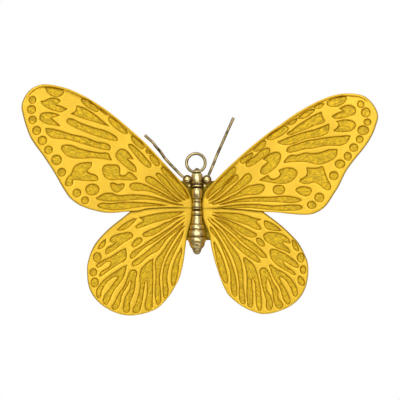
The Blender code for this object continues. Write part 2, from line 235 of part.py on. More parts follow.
RIGHT = {
    "root": (2.4, 0.4),
    "notch": (32.9, -1.45),
    "crease": [(31, -1.35), (29, -1.05), (25, -.65), (20, -.2), (15, -.1), (10, 0), (6, .2)],
    "fore_edge": [
        (2.4, 2), (2.5, 4), (2.9, 6), (3.3, 7), (3.7, 8), (4.4, 9), (5.3, 10), (7.2, 12.1), (8.2, 13.3),
        (10, 15.4), (12, 17.3), (15, 20.3), (20, 25.1), (25, 29.5), (28, 32.1), (30, 33.6), (32, 35.2),
        (34, 36.8), (36, 38.4), (38, 39.8), (40, 41.2), (42, 42.5), (44, 44), (46, 45.6), (50, 48.2),
        (54, 50.6), (58, 52.8), (62, 54.7), (66, 56.1), (70, 57.3), (74, 57.8), (78, 57.7), (80, 57.5),
        (82, 57.1), (84, 56.1), (85, 55.5), (86, 54.6), (87, 53.5), (88, 52.2), (89, 50.6), (90, 48.2),
        (90.3, 46.4), (90, 44.6), (89.3, 42), (88.6, 40), (87.8, 38), (86.8, 36), (85.4, 34), (83.8, 32),
        (82.3, 30), (81, 28), (79.5, 26), (78, 24), (76.6, 22), (75.1, 20), (73.8, 18), (72.9, 16),
        (71.8, 14), (70.8, 12), (69.8, 10), (68.5, 8), (67.1, 6), (65.6, 4), (64.1, 2), (62.4, 0),
        (60, -1.5), (57, -2.6), (55, -2.85), (52, -2.85), (48, -2.6), (45, -2.3), (40, -1.75), (35, -1.4)],
    "hind_edge": [
        (2.5, -1), (2.6, -3), (3.1, -5), (3.7, -7), (4.3, -8.2), (5, -9.6), (5.6, -11), (6.05, -13),
        (6.4, -15), (6.8, -17.2), (7.1, -19.3), (7.65, -21.5), (8.1, -23.6), (8.7, -25.8), (9.4, -28),
        (10, -30), (10.7, -32), (11.6, -34), (12.4, -36), (13.1, -38), (13.8, -40), (14.9, -42),
        (16.7, -44), (18.8, -46), (20, -47), (21.4, -48), (23, -49), (25, -50), (27.4, -51.1), (30, -52),
        (32, -52.5), (34, -52.55), (36, -52.4), (38, -52), (40, -51.4), (42, -50.7), (44, -49.8),
        (46, -48.8), (48, -47.5), (50, -45.7), (52, -43.2), (53, -41.4), (54, -39.1), (54.6, -37),
        (55, -34.6), (55.3, -32), (55.2, -28.6), (54.9, -26.3), (54.1, -24.1), (53.2, -22), (52.3, -20.4),
        (51.2, -18.4), (50, -16.4), (48.7, -14.8), (46.4, -12.5), (44.1, -10.4), (41.9, -8.3),
        (39.6, -6.7), (37.3, -4.9), (35.1, -3.3), (33.8, -2.1)],
    "fore_dots": [
        (81.9, 52.3, 1.8, 1.85), (84.4, 48.2, 2.3, 2.45), (85.3, 43.4, 1.9, 1.7), (83.15, 39.3, 2.9, 2.4),
        (81.4, 34.8, 1.9, 1.95), (78.4, 30.6, 2.2, 2.05), (75.45, 26.3, 1.95, 2.15), (71.55, 22.45, 2.6, 2.2),
        (68.45, 16.6, 2.3, 2.25), (61.2, 5.7, 2.45, 2.3), (57.4, 2.0, 2.3, 2.0), (41, 9.6, 3.05, 2.5)],
    "hind_dots": [(51.75, -24.4, 1.9, 2.45), (53.0, -30.4, 1.6, 2.2)],
    "fore_cells": [
        [(65.1, 53.8), (66.4, 54.6), (68, 55.3), (70, 56), (72, 56.55), (73.5, 56.65), (74.6, 56.3), (74.9, 55.2),
         (74.3, 53.9), (73.4, 52.8), (72, 51.9), (70.5, 51.2), (69, 51), (67, 51.1), (65.9, 51.4),
         (65.1, 52), (64.9, 53)],
        [(67.2, 46.2), (68.2, 46.9), (69.3, 47.3), (70.3, 48), (71.8, 48.6), (73.2, 49.1), (72.2, 49.5),
         (71, 50.05), (72.3, 50.8), (73.7, 51.5), (75.3, 51.9), (77.2, 51.8), (78.6, 51.1), (79.4, 49.8),
         (79.5, 48.5), (78.8, 47.1), (77, 46.6), (74.5, 46.05), (72.5, 45.4), (70.5, 45.05), (69, 45.1),
         (68, 45.7)],
        [(69.4, 43.7), (71.5, 44.3), (74, 44.7), (76, 44.6), (78, 43.9), (79.2, 42.9), (79.5, 41.8),
         (79.1, 40.8), (78.2, 39.8), (77.2, 39.1), (75, 38.8), (72.5, 38.4), (70, 38.5), (68.4, 38.9),
         (68.3, 39.3), (69.2, 39.8), (70.1, 40.9), (70.9, 42), (70.7, 42.9)],
        [(62.3, 48.6), (60.8, 47.9), (58.5, 46.9), (56, 45.4), (54, 44.1), (52, 42.7), (50.3, 41.4),
         (48.5, 40.3), (46.8, 38.9), (45.2, 38), (44.8, 37.4), (45.3, 36.95), (47, 36.9), (49, 37.7),
         (51, 38.5), (53, 39.2), (55, 39.9), (57, 40.8), (59, 41.7), (61, 42.3), (62.8, 42.8), (63.9, 43.5),
         (64, 44.4), (63.3, 45.3), (62.9, 46.5), (62.6, 47.7)],
        [(66.1, 42.6), (64.8, 42.1), (63, 41.4), (61.2, 40.6), (59, 39.8), (57, 39.2), (55, 38.7),
         (53, 38.3), (51, 37.6), (49, 36.9), (47, 36.3), (45, 35.5), (43, 34.7), (41.3, 34), (40.2, 33.5),
         (40.9, 32.8), (42.3, 32.3), (44.2, 32), (46, 32), (48, 32.6), (50, 33.4), (52, 34.2), (54, 34.8),
         (56, 35.3), (58, 35.7), (60, 36.1), (62, 36.6), (64, 37.1), (65.3, 37.9), (65.9, 39), (66.2, 40.8)],
        [(76.7, 36.5), (75, 36.75), (73, 36.6), (70.5, 36.3), (68, 36), (65.5, 35.7), (63, 35.4),
         (60, 35.1), (57.5, 34.6), (55, 34.2), (53, 33.6), (51, 32.9), (49, 32.1), (47.2, 31.4),
         (45.7, 30.7), (44.9, 29.9), (44.8, 29), (45.4, 28.3), (46.6, 28.1), (48.5, 28.4), (50.5, 28.8),
         (52.5, 29.4), (54.5, 29.9), (57, 30.1), (59, 30.5), (61, 30.9), (63, 31.3), (65, 31.6), (68, 31.8),
         (71, 31.8), (73, 32), (74.4, 32.7), (75.4, 33.8), (76.2, 35.1)],
        [(70.2, 29.8), (68.5, 29.9), (66.5, 29.8), (65, 29.3), (63, 28.8), (61, 28.2), (59, 27.9),
         (57, 27.9), (55.2, 28.2), (53.6, 28), (52, 27.5), (50.3, 27.1), (49, 26.9), (47.7, 27.1),
         (46.6, 26.8), (45.4, 25.8), (44.3, 24.5), (43.4, 23.6), (43.5, 22.9), (45, 23), (47, 23.4),
         (49, 23.4), (52, 23.4), (55, 23.4), (57, 23), (59, 22.6), (61.3, 22.2), (63, 22.5), (64.8, 23.3),
         (66.5, 23.8), (68.3, 24.9), (69.6, 26.3), (70.1, 28)],
        [(62.5, 21.4), (61.4, 20.9), (59.5, 20.6), (57, 20.5), (55, 20.8), (54.9, 19.6), (55.2, 18.4),
         (54.9, 17.2), (54, 16.1), (52.8, 15.2), (51.4, 14.3), (51.2, 13.6), (52.2, 13), (54, 12.4),
         (55.5, 12.4), (57, 13), (58.4, 13.3), (60, 12.7), (61.3, 12), (62.4, 11), (63.5, 10.2), (64.6, 9.6),
         (65.8, 9.4), (66.8, 9.9), (67, 10.9), (66.5, 12.2), (65.8, 13.7), (65.2, 15.2), (64.7, 16.6),
         (64.1, 18.2), (63.5, 20), (63.1, 21.2)],
        [(35.4, 17), (34.4, 16.3), (33, 15.5), (31.6, 14.7), (31.1, 14.2), (32, 13.9), (34, 13.6),
         (36, 13.3), (38, 13), (40, 12.7), (42, 12.5), (44, 12.6), (45.5, 13.1), (47, 13.7), (48.2, 14.6),
         (49.2, 15.8), (50, 17), (50.3, 18.1), (49.9, 19.1), (49, 19.9), (47.7, 20.5), (46, 20.7),
         (44, 20.5), (42.2, 20), (41, 19.4), (41, 18.6), (41.6, 17.9), (41.5, 17), (40.8, 16), (39.6, 15.3),
         (38.2, 15), (37.2, 15.2), (36.5, 15.8), (36, 16.6)],
        [(33, 24.8), (33.6, 25.6), (35, 26.6), (36.5, 27.5), (38, 28.2), (39.5, 28.4), (41, 28.3),
         (41.8, 27.5), (42, 26.3), (41.8, 24.9), (41.3, 23.5), (40.6, 22.2), (39.7, 21), (38.3, 19.8),
         (36.7, 18.6), (35.2, 17.7), (33.7, 17.2), (32.5, 17.3), (31.8, 17.9), (31.7, 19), (32, 20.2),
         (32.9, 21.3), (34, 22.3), (35.2, 23.2), (35.2, 23.7), (34.2, 24.1)],
        [(58.2, 50.9), (59.5, 51.7), (61, 52.5), (62.6, 53), (63.5, 52.8), (63.6, 52.1), (62.9, 51.2),
         (61.9, 50.4), (60.6, 50), (59.3, 50.1), (58.5, 50.4)],
        [(59.1, 49.3), (58.8, 49.8), (57.8, 50), (56.6, 49.7), (55.3, 49.2), (54, 48.4), (52.5, 47.3),
         (51, 46.2), (50.5, 45.5), (51, 44.95), (52.5, 45), (54, 45.4), (55.5, 46.2), (57, 47.3),
         (58.3, 48.4)],
        [(50.4, 45.1), (50, 45.4), (49.3, 45.2), (48, 44.5), (46.6, 43.6), (45.4, 42.8), (44.9, 42.2),
         (45.4, 41.9), (46.2, 41.8), (47.3, 42), (48.6, 42.8), (49.7, 43.7), (50.2, 44.5)],
        [(44.3, 41.9), (43.5, 41.6), (42, 40.9), (40.5, 40), (39, 38.7), (37.5, 37.5), (36.2, 36.3),
         (35.2, 35.6), (35, 34.9), (35.6, 34.5), (37, 34.4), (38.5, 34.8), (40, 35.4), (41.3, 36.2),
         (42.8, 37.2), (44.2, 38.2), (45.4, 39.2), (46, 40), (45.6, 40.9), (45, 41.6)],
        [(34.1, 34.3), (33, 34.1), (31.6, 33.1), (30.2, 31.8), (28.8, 30.6), (27.9, 29.7), (27.9, 29.2),
         (28.8, 28.7), (30.3, 28.7), (31.6, 29.2), (32.9, 30.2), (33.9, 31.2), (34.5, 32.5), (34.6, 33.7)],
        [(27.4, 28.3), (26.3, 27.8), (24.8, 26.8), (23, 25.3), (21.6, 24.3), (21.4, 23.7), (22, 22.9),
         (23.2, 22.6), (24.4, 23.1), (26, 24.5), (27.4, 25.9), (28, 27), (28, 28)],
        [(36.7, 29.6), (36.2, 30.4), (35, 30.6), (33.5, 30.1), (32, 29), (30.5, 27.8), (29, 26.6),
         (27.3, 25.1), (25.7, 23.7), (24.5, 22.6), (24.4, 21.6), (25.2, 20.9), (26.5, 21.2), (28, 22.1),
         (30, 23.3), (31.7, 24.4), (33.2, 25.8), (34.6, 27.1), (35.9, 28.1), (36.6, 28.8)],
        [(18.3, 21.3), (17, 20.2), (15, 18.4), (13, 16.5), (11, 14.5), (9, 12.4), (7.3, 10.2), (6, 8.2),
         (5, 6.5), (4.4, 5.4), (4.8, 4.9), (6, 5.9), (7.4, 7), (9.4, 8.6), (11, 10.2), (13, 12.3),
         (15, 14.5), (17, 16.6), (18.6, 18.2), (19.5, 19.2), (19.7, 20.2), (19.2, 21)],
        [(6.4, 5), (7.2, 5.6), (9, 7), (10.8, 8.6), (12.8, 10.8), (15.2, 13.2), (17.3, 15.4), (18.3, 16.7),
         (19.6, 17.4), (20.6, 16.8), (20.9, 15.7), (20.4, 14.7), (19, 13.6), (16.9, 12), (14.7, 10),
         (12.9, 8.4), (11.3, 7.2), (9.8, 5.8), (7.9, 4.8), (6.4, 4), (5.5, 3.7), (5.6, 4.3)],
        [(25.8, 17.9), (24.4, 17.4), (23.2, 16.3), (22, 15), (20.4, 13.7), (18.6, 12.1), (17, 10.6),
         (15.2, 9), (13.5, 7.5), (12, 6.2), (10.3, 5), (8.4, 4), (7, 3.2), (5.7, 2.7), (7, 2.7),
         (8.6, 3.3), (10, 4), (11.7, 4.9), (13.7, 5.8), (15.7, 7), (18.1, 8), (20.7, 9.7), (23.3, 11.3),
         (25.5, 12.6), (26.9, 13.9), (27.5, 15.4), (27.1, 17)],
        [(9, 2.9), (10.6, 3.5), (12.2, 4.1), (14.3, 4.9), (16.3, 6.1), (18.7, 7.1), (21.3, 8.7),
         (23.9, 10.3), (26, 11.5), (28, 12), (30, 12.2), (32.6, 12.3), (33.6, 11.9), (33.9, 10.7),
         (33.6, 9.4), (32.6, 8.4), (31, 7.4), (29, 6.9), (26, 6.9), (23, 6.3), (20, 5.7), (18, 5.1),
         (16, 4.5), (14, 3.9), (12, 3.3), (10, 2.7), (8.5, 2.2), (7.3, 2.1), (7.5, 2.4)],
        [(11, 2.25), (13, 2.7), (15, 3.3), (17, 3.9), (19, 4.4), (21, 4.9), (24, 5.4), (27, 5.8), (30, 6),
         (35, 6), (38, 6.1), (41, 6.4), (43, 6.6), (45, 6.5), (47, 6.2), (49, 5.8), (51, 5.3),
         (52.1, 4.8), (52.4, 4.3), (51.6, 3.9), (50, 3.5), (48.5, 3.1), (47, 2.9), (45, 3), (43, 3.2),
         (40, 3.3), (37, 3.3), (35, 3.4), (32, 3.5), (30, 3.5), (26, 3.6), (22, 3.3), (19, 3.1),
         (17, 2.9), (14, 2.3), (12, 1.9), (11, 1.9)],
        [(9.8, .8), (12, 1.2), (14, 1.5), (17, 1.9), (19, 2.1), (22, 2.3), (26, 2.5), (30, 2.4), (34, 1.9),
         (38, 1.7), (42, 1.8), (45, 2), (48, 2.1), (50, 2.1), (51.5, 1.9), (52.5, 1.4), (52.9, .7),
         (52.3, 0), (51, -.4), (49, -.7), (47, -.85), (45, -.85), (42, -.6), (40, -.5), (37, -.3),
         (34, -.1), (31, .15), (28, .4), (24, .6), (20, .7), (15, .65), (10.5, .55)],
        [(49.2, 9.7), (50.5, 10.7), (52.2, 11.2), (54, 11.3), (55.8, 10.9), (57, 10.1), (57.4, 9),
         (56.8, 7.7), (55.8, 6.7), (54.5, 6.3), (53, 6.6), (51.5, 7.3), (50.2, 8.3), (49.5, 9)]],
    "hind_cells": [
        [(7.8, -1.7), (9.5, -1.7), (12, -1.75), (15, -1.75), (18, -1.9), (20, -2.1), (22, -2.5),
         (24, -2.9), (26, -3.5), (28, -4.1), (30, -4.8), (31.9, -5.1), (31.4, -5.7), (30.1, -5.7),
         (29.6, -6.3), (30, -7.1), (31.1, -8), (31.8, -9.2), (32.1, -10.2), (31.2, -10.4), (29.6, -9.9),
         (28, -9.3), (25, -8.1), (22, -7.2), (18.6, -6.1), (16, -5.1), (14, -4.3), (12, -3.5), (10, -2.8),
         (8.6, -2.2)],
        [(33.5, -5.9), (34.4, -5.8), (36, -6.4), (37.8, -7.3), (39.5, -8.4), (41, -9.6), (42.2, -10.8),
         (41.3, -11.1), (39.5, -11), (37, -10.5), (35, -10), (34.2, -9.4), (33.6, -8), (33.3, -6.9)],
        [(33.1, -13.2), (33.5, -12.5), (34.5, -11.9), (36.5, -11.7), (39, -11.7), (41.5, -12.1),
         (43.3, -12.9), (44.9, -14), (46, -15.3), (46.6, -16.7), (46.2, -17.3), (44.8, -17.1),
         (43.5, -16.6), (42.8, -16.7), (43.2, -17.5), (44.6, -18.8), (45.8, -20), (46.6, -21.6),
         (46.2, -22.3), (45.2, -21.9), (43.8, -21), (42, -20.4), (40, -19.7), (38.2, -18.6),
         (36.6, -17.3), (35.2, -15.9), (34, -14.8), (33.2, -14.2)],
        [(29.5, -14.6), (30.5, -14.4), (31.8, -14.9), (33, -15.9), (33.7, -17.2), (33.7, -18.5),
         (33, -19), (31.8, -18.6), (30.6, -17.7), (29.8, -16.4), (29.4, -15.4)],
        [(47.5, -15.4), (48.3, -15.7), (49.3, -17), (50.2, -18.5), (50.9, -20.2), (50.7, -21.1),
         (49.8, -21.1), (48.6, -20.3), (47.9, -19), (47.5, -17.4), (47.3, -16.1)],
        [(50.3, -34.5), (50.6, -33.6), (51.4, -33.4), (52.4, -34.1), (53.3, -35.2), (53.8, -36.6),
         (53.7, -38), (53, -38.6), (51.8, -38.3), (50.8, -37.3), (50.3, -36)],
        [(36.2, -21.2), (36.9, -20.1), (38.5, -20), (40.4, -20.6), (42, -21.5), (43.9, -22.8),
         (45.8, -23.9), (47.8, -24.9), (49.3, -26.1), (50.4, -27.5), (50.8, -28.9), (50.3, -29.6),
         (49.2, -29.3), (47.6, -28.6), (46, -27.6), (44.8, -26.7), (43.6, -26), (43, -26.4), (43.4, -27.3),
         (44.7, -28.3), (46.2, -29.5), (47.7, -30.7), (48.8, -31.8), (49.4, -32.8), (48.3, -33),
         (46.4, -32), (44.4, -30.6), (42.3, -29.1), (40.2, -27.8), (38.3, -26.5), (37.2, -25.1),
         (36.5, -23.3)],
        [(36, -28), (36.9, -27.8), (38.2, -28.9), (40, -29.8), (42, -30.9), (44, -32.2), (46, -33.9),
         (47.7, -35.7), (49, -37.8), (50, -40), (50.3, -41.8), (50, -43.3), (49.2, -44), (48.3, -43.4),
         (47.5, -41.8), (46.9, -40), (46, -38.2), (45, -36.6), (43.8, -35.2), (42.4, -34.3), (41.3, -34),
         (41.6, -35.2), (42.5, -37), (43.6, -39), (44.8, -41), (45.8, -43), (46.5, -44.9), (46.7, -46.3),
         (46.2, -47.4), (45.2, -47.9), (44.5, -47.3), (44, -45.8), (43.1, -43.6), (42.2, -41.6),
         (41.2, -39.4), (40.2, -37.5), (39, -35.6), (38, -33.8), (37.1, -31.9), (36.6, -30), (36, -28.8)],
        [(31.3, -30.6), (31.9, -29.7), (33, -29.3), (34.3, -29.7), (35.2, -30.7), (35.9, -32),
         (36.6, -33.6), (37.4, -35.4), (38.3, -37.2), (39.2, -38.7), (40.1, -40), (40.6, -41.5),
         (40.5, -43.2), (40.7, -44.5), (41.7, -45.8), (42.7, -47.3), (42.9, -48.5), (42.2, -49.6),
         (41, -50), (39.9, -49.5), (39.1, -48.4), (38.7, -46.8), (38.2, -44.8), (37.7, -42.8), (37.4, -41),
         (36.9, -39), (36.2, -37), (35.5, -35.4), (34.9, -34.7), (34.7, -36), (34.8, -38.5), (35, -40.7),
         (35.9, -42.3), (37, -43.8), (37.5, -45.3), (37.4, -47.5), (37.5, -49.4), (36.6, -50.7),
         (35.4, -50.7), (34.6, -49.7), (34.5, -47.8), (34.5, -45.6), (33.9, -43.4), (33.2, -41.3),
         (32.8, -39), (32.2, -36.6), (31.6, -34), (31.3, -32)],
        [(23.2, -24.2), (24.1, -24.3), (25.4, -25.2), (26.6, -26.4), (28, -27.6), (28.9, -29),
         (29.6, -30.8), (30.1, -32.9), (30.4, -35), (30.9, -37.2), (31.4, -39.3), (31.8, -41.3),
         (32.1, -43.5), (32.2, -46), (32.3, -48.2), (32.2, -50), (31.7, -50.9), (31, -51), (30.3, -50.3),
         (29.8, -49), (29.5, -47.5), (29.4, -45), (29.2, -42), (28.9, -39), (28.7, -36.8), (28.2, -35.2),
         (27.8, -34.6), (27.5, -35.4), (27.5, -38), (27.8, -41), (28, -44), (27.9, -46.5), (27.6, -48.6),
         (27, -49.3), (26.1, -49.3), (25.4, -48.6), (25, -46.5), (24.9, -43), (24.9, -39), (24.8, -35),
         (24.6, -32), (24.2, -29.5), (23.6, -27.4), (23.1, -25.6)],
        [(7.2, -3.1), (8.2, -2.85), (9.6, -3.25), (11.2, -4), (13, -4.7), (14.6, -5.4), (16.2, -6),
         (18, -6.7), (20.3, -7.5), (22.3, -8.5), (24.3, -9.7), (26.3, -10.8), (28.4, -11.6),
         (29.7, -12.4), (29.9, -13.3), (29, -13.9), (27.3, -14.3), (25.4, -13.9), (23.6, -13),
         (21.9, -11.9), (20.3, -11), (18.8, -10), (17.4, -9), (15.9, -8), (14.7, -7.2), (13, -6.3),
         (11.8, -5.4), (10.6, -4.8), (9.2, -4), (8, -3.6)],
        [(8.1, -4.3), (9.4, -4.7), (10.6, -5.5), (11.8, -6.3), (13, -7.2), (14.6, -8), (15.8, -8.9),
         (17.2, -9.9), (18.6, -10.9), (20.4, -12), (22.3, -13.2), (24.2, -14.6), (26.2, -15.9),
         (28.3, -17), (30.3, -18.6), (32, -20.2), (33.7, -22.1), (34.8, -23.7), (34.9, -24.5),
         (33.6, -24.6), (31.7, -23.3), (29.9, -22), (28.7, -21.3), (27.3, -20.3), (26, -19.3),
         (25, -18.5), (23.8, -17.6), (22.4, -16.5), (21, -15.2), (20.1, -14.3), (18.9, -13.1),
         (17.9, -12.4), (16.6, -11.2), (15.4, -10.4), (14.1, -9.3), (12.8, -8.1), (11.6, -7),
         (10, -5.8), (8.6, -4.9)],
        [(6.5, -4.2), (7.9, -5.4), (9.4, -6.5), (11, -7.7), (12.2, -8.8), (13.5, -10), (14.8, -11.1),
         (16, -11.9), (17.3, -13.1), (18.3, -13.9), (19.5, -15), (20.3, -15.8), (21.7, -17.3),
         (23.5, -18.7), (25.1, -19.9), (26.7, -21.3), (28.1, -22.4), (29.4, -23.4), (30.8, -24.6),
         (31.5, -25.8), (31.5, -26.6), (30.8, -26.9), (29.8, -26.6), (28.2, -25.7), (26.3, -24.5),
         (24.6, -23.3), (23.3, -22.3), (21.8, -21.1), (20.6, -20), (19.3, -18.7), (18.2, -17.6),
         (17.2, -16.5), (16.3, -15.4), (15.5, -14.4), (14.8, -13.3), (14.1, -12.4), (13.4, -11.3),
         (12.3, -10.2), (11.1, -9), (10.1, -8.2), (9.2, -7.2), (8.1, -6.4), (7, -5.4)],
        [(5.5, -4.9), (6.4, -6), (7.5, -7), (8.6, -7.9), (9.5, -8.9), (10.5, -9.7), (11.7, -10.8),
         (12.8, -11.9), (13.5, -12.9), (14.2, -13.9), (15, -15.3), (15.9, -16.4), (16.8, -17.9),
         (18.1, -19.8), (19, -21.2), (20, -22.9), (21, -24.4), (21.8, -25.8), (22.2, -27.6), (22.6, -29.6),
         (22.9, -32), (23, -34.4), (23.2, -36.8), (23.2, -38.7), (23.4, -40.5), (23.8, -43),
         (24.1, -45.5), (24.1, -47), (23.5, -47.6), (22.3, -47.3), (21.5, -46.4), (21, -44.5), (20.9, -42),
         (20.8, -40), (20.9, -38), (20.8, -36.5), (20.5, -34.1), (19.9, -31.5), (19.5, -29.5), (19, -27.8),
         (18.4, -26.4), (17.9, -25), (17.5, -23.9), (16.8, -22.5), (16, -21.2), (15, -19.2), (14.1, -17.6),
         (13.3, -16.4), (12.4, -15.1), (11.5, -13.8), (10.6, -12.4), (9.8, -11), (8.4, -8.9), (7.4, -7.6),
         (6.3, -6.4), (5.4, -5.5)],
        [(6.3, -8.8), (6.9, -8.9), (7.8, -10), (8.8, -11.3), (9.7, -12.6), (10.6, -14), (11.5, -15.5),
         (12.4, -16.9), (13.1, -18.2), (14.2, -20.5), (15.2, -22.9), (16.2, -24.9), (17, -26.8),
         (17.6, -28.3), (18.2, -30.1), (18.6, -32), (19, -33.9), (19.5, -35.6), (19.7, -37.6),
         (19.9, -40), (20, -42), (19.8, -43.5), (19, -44), (18.2, -43.6), (17.6, -42.7), (17.1, -41.2),
         (17, -39), (17, -37), (16.8, -35.2), (16.6, -33), (16.2, -30.5), (15.5, -28.3), (14.8, -26.2),
         (13.9, -23.7), (12.9, -21.6), (11.9, -19.4), (11.1, -17.5), (10.3, -15.6), (9.4, -14.1),
         (8.5, -12.7), (7.6, -11.4), (6.8, -10.2), (6.3, -9.5)],
        [(8.3, -16.4), (8.8, -16.5), (9.3, -17.7), (10, -19.3), (10.9, -20.9), (11.8, -22.7),
         (12.7, -24.5), (13.4, -26.5), (14.1, -29), (14.6, -31), (15.1, -33.2), (15.4, -35.2),
         (15.2, -36.9), (14.6, -37.6), (13.9, -37.1), (13.2, -36.2), (12.6, -35.2), (11.9, -33.6),
         (11.2, -30.9), (10.6, -28.4), (9.9, -25.7), (9.4, -23.8), (8.9, -21.6), (8.5, -19.2),
         (8.2, -17.4)]],
}


def thinned(points, closed):
    """Drops points that lie within THIN of the line between the points kept."""
    def span(run):
        a, b = Vector(run[0]), Vector(run[-1])
        line = b - a
        worst, at = 0.0, 0
        for i in range(1, len(run) - 1):
            p = Vector(run[i]) - a
            t = max(0.0, min(1.0, p.dot(line) / max(line.length_squared, 1e-9)))
            away = (p - t * line).length
            if away > worst:
                worst, at = away, i
        if worst <= THIN:
            return [run[0]]
        return span(run[:at + 1]) + span(run[at:])
    if not closed:
        return span(points) + [points[-1]]
    half = len(points) // 2
    return span(points[:half + 1]) + span(points[half:] + points[:1])


def inside(point, loop):
    x, y = point
    hit = False
    for i in range(len(loop)):
        (x0, y0), (x1, y1) = loop[i - 1], loop[i]
        if (y0 > y) != (y1 > y) and x < (x1 - x0) * (y - y0) / (y1 - y0) + x0:
            hit = not hit
    return hit


def smooth_ramp(value, start, end):
    t = max(0.0, min(1.0, (value - start) / (end - start)))
    return t * t * (3 - 2 * t)


def true_place(out, up, side):
    """Position in the wing's own plane of a point seen at (out, up) from the front."""
    depth = -out * math.sin(TILT)
    shrink = 1 + depth / VIEW_DISTANCE
    across = (side * out - VIEW_CENTRE[0]) * shrink + VIEW_CENTRE[0]
    return side * across / math.cos(TILT), (up - VIEW_CENTRE[1]) * shrink + VIEW_CENTRE[1]


def wing_vertex(place, height, side):
    """Turns (along the wing, up) and the height of its surface into a point of the part."""
    along, up = place
    across = along * math.cos(TILT) - height * math.sin(TILT)
    depth = -along * math.sin(TILT) - height * math.cos(TILT)
    return ((side * across - ORIGIN[0]) * MM, (depth - ORIGIN[1]) * MM, (up - ORIGIN[2]) * MM)


def dot_outline(out, up, rx, rz):
    turns = [2 * math.pi * i / DOT_SIDES for i in range(DOT_SIDES)]
    return [(out + rx * math.cos(t), up + rz * math.sin(t)) for t in turns]


def build_wing(name, side, plan, material):
    mesh_verts, faces = [], []

    def add(place, height):
        mesh_verts.append(wing_vertex(place, height, side))
        return len(mesh_verts) - 1

    def face(*corners):
        corners = list(corners)
        faces.append(corners if side > 0 else corners[::-1])

    def step_at(out):
        return STEP * smooth_ramp(out, *STEP_RUN)

    root, notch = plan["root"], plan["notch"]
    crease = thinned([notch] + plan["crease"] + [root], False)
    back, low, high = {}, {}, {}

    def shared(store, point, height):
        if point not in store:
            store[point] = add(true_place(*point, side), height)
        return store[point]

    boundaries = {}
    for part in ("fore", "hind"):
        edge = thinned([root] + plan[part + "_edge"] + [notch], False)
        boundaries[part] = edge
        outline = edge + crease[1:-1]
        cells = [thinned(cell, True) for cell in plan[part + "_cells"]]
        cells += [dot_outline(*dot) for dot in plan[part + "_dots"]]
        points, links, owner = [], [], []
        for number, loop in enumerate([outline] + cells):
            start = len(points)
            points += loop
            owner += [number] * len(loop)
            links += [(start + i, start + (i + 1) % len(loop)) for i in range(len(loop))]
        flat = [Vector(true_place(*p, side)) for p in points]
        out_verts, _, triangles, _, _, _ = delaunay_2d_cdt(flat, links, [], 0, 1e-7)
        if len(out_verts) != len(points):
            raise ValueError(f"{name} {part}: outlines cross or touch")
        front, floor = [], []
        for place, point, number in zip(flat, points, owner):
            height = step_at(point[0]) if part == "fore" else 0.0
            if number == 0:
                store = high if part == "fore" else low
                if point == root:
                    store = low
                front.append(shared(store, point, height))
                floor.append(None)
            else:
                front.append(add(place, height))
                floor.append(add(place, height - RECESS))
        flat_loops = []
        start = 0
        for loop in [outline] + cells:
            flat_loops.append([tuple(p) for p in flat[start:start + len(loop)]])
            start += len(loop)
        for tri in triangles:
            middle = tuple(sum((flat[i] for i in tri), Vector((0, 0))) / 3)
            if not inside(middle, flat_loops[0]):
                continue
            corners = {owner[i] for i in tri}
            cell = next((n for n in corners if n and len(corners) == 1 and inside(middle, flat_loops[n])), 0)
            if cell:
                face(*(floor[i] for i in tri))
            else:
                face(*(front[i] for i in tri))
        start = len(outline)
        for loop in cells:
            turn = sum((loop[i - 1][0] * loop[i][1] - loop[i][0] * loop[i - 1][1]) for i in range(len(loop)))
            count = len(loop)
            for i in range(count):
                a, b = start + i, start + (i + 1) % count
                if turn > 0:
                    a, b = b, a
                face(front[b], front[a], floor[a], floor[b])
            start += count

    ring = boundaries["hind"] + boundaries["fore"][1:-1][::-1]
    for point in ring:
        shared(back, point, -PLATE)
    flat = [Vector(true_place(*p, side)) for p in ring]
    links = [(i, (i + 1) % len(ring)) for i in range(len(ring))]
    _, _, triangles, _, _, _ = delaunay_2d_cdt(flat, links, [], 0, 1e-7)
    loop = [tuple(p) for p in flat]
    for tri in triangles:
        middle = tuple(sum((flat[i] for i in tri), Vector((0, 0))) / 3)
        if inside(middle, loop):
            face(*(back[ring[i]] for i in tri[::-1]))

    hind, fore = boundaries["hind"], boundaries["fore"]
    for a, b in zip(hind, hind[1:]):
        face(low[a], back[a], back[b], low[b])
    top = dict(high)
    top[root] = low[root]
    for a, b in zip(fore, fore[1:]):
        if b == notch:
            face(top[b], low[b], back[b], back[a], top[a])
        else:
            face(top[b], back[b], back[a], top[a])
    for a, b in zip(crease, crease[1:]):
        if b == root:
            face(top[a], low[a], low[b])
        else:
            face(top[a], low[a], low[b], top[b])
    return finish(name, mesh_verts, faces, material)


def finish(name, verts, faces, material):
    mesh = bpy.data.meshes.new(name)
    mesh.from_pydata(verts, [], faces)
    bm = bmesh.new()
    bm.from_mesh(mesh)
    bmesh.ops.triangulate(bm, faces=[f for f in bm.faces if len(f.verts) > 4])
    bmesh.ops.recalc_face_normals(bm, faces=bm.faces)
    bm.to_mesh(mesh)
    bm.free()
    mesh.materials.append(material)
    part = bpy.data.objects.new(name, mesh)
    bpy.context.collection.objects.link(part)
    return part


def placed(across, depth, up):
    return Vector(((across - ORIGIN[0]) * MM, (depth - ORIGIN[1]) * MM, (up - ORIGIN[2]) * MM))


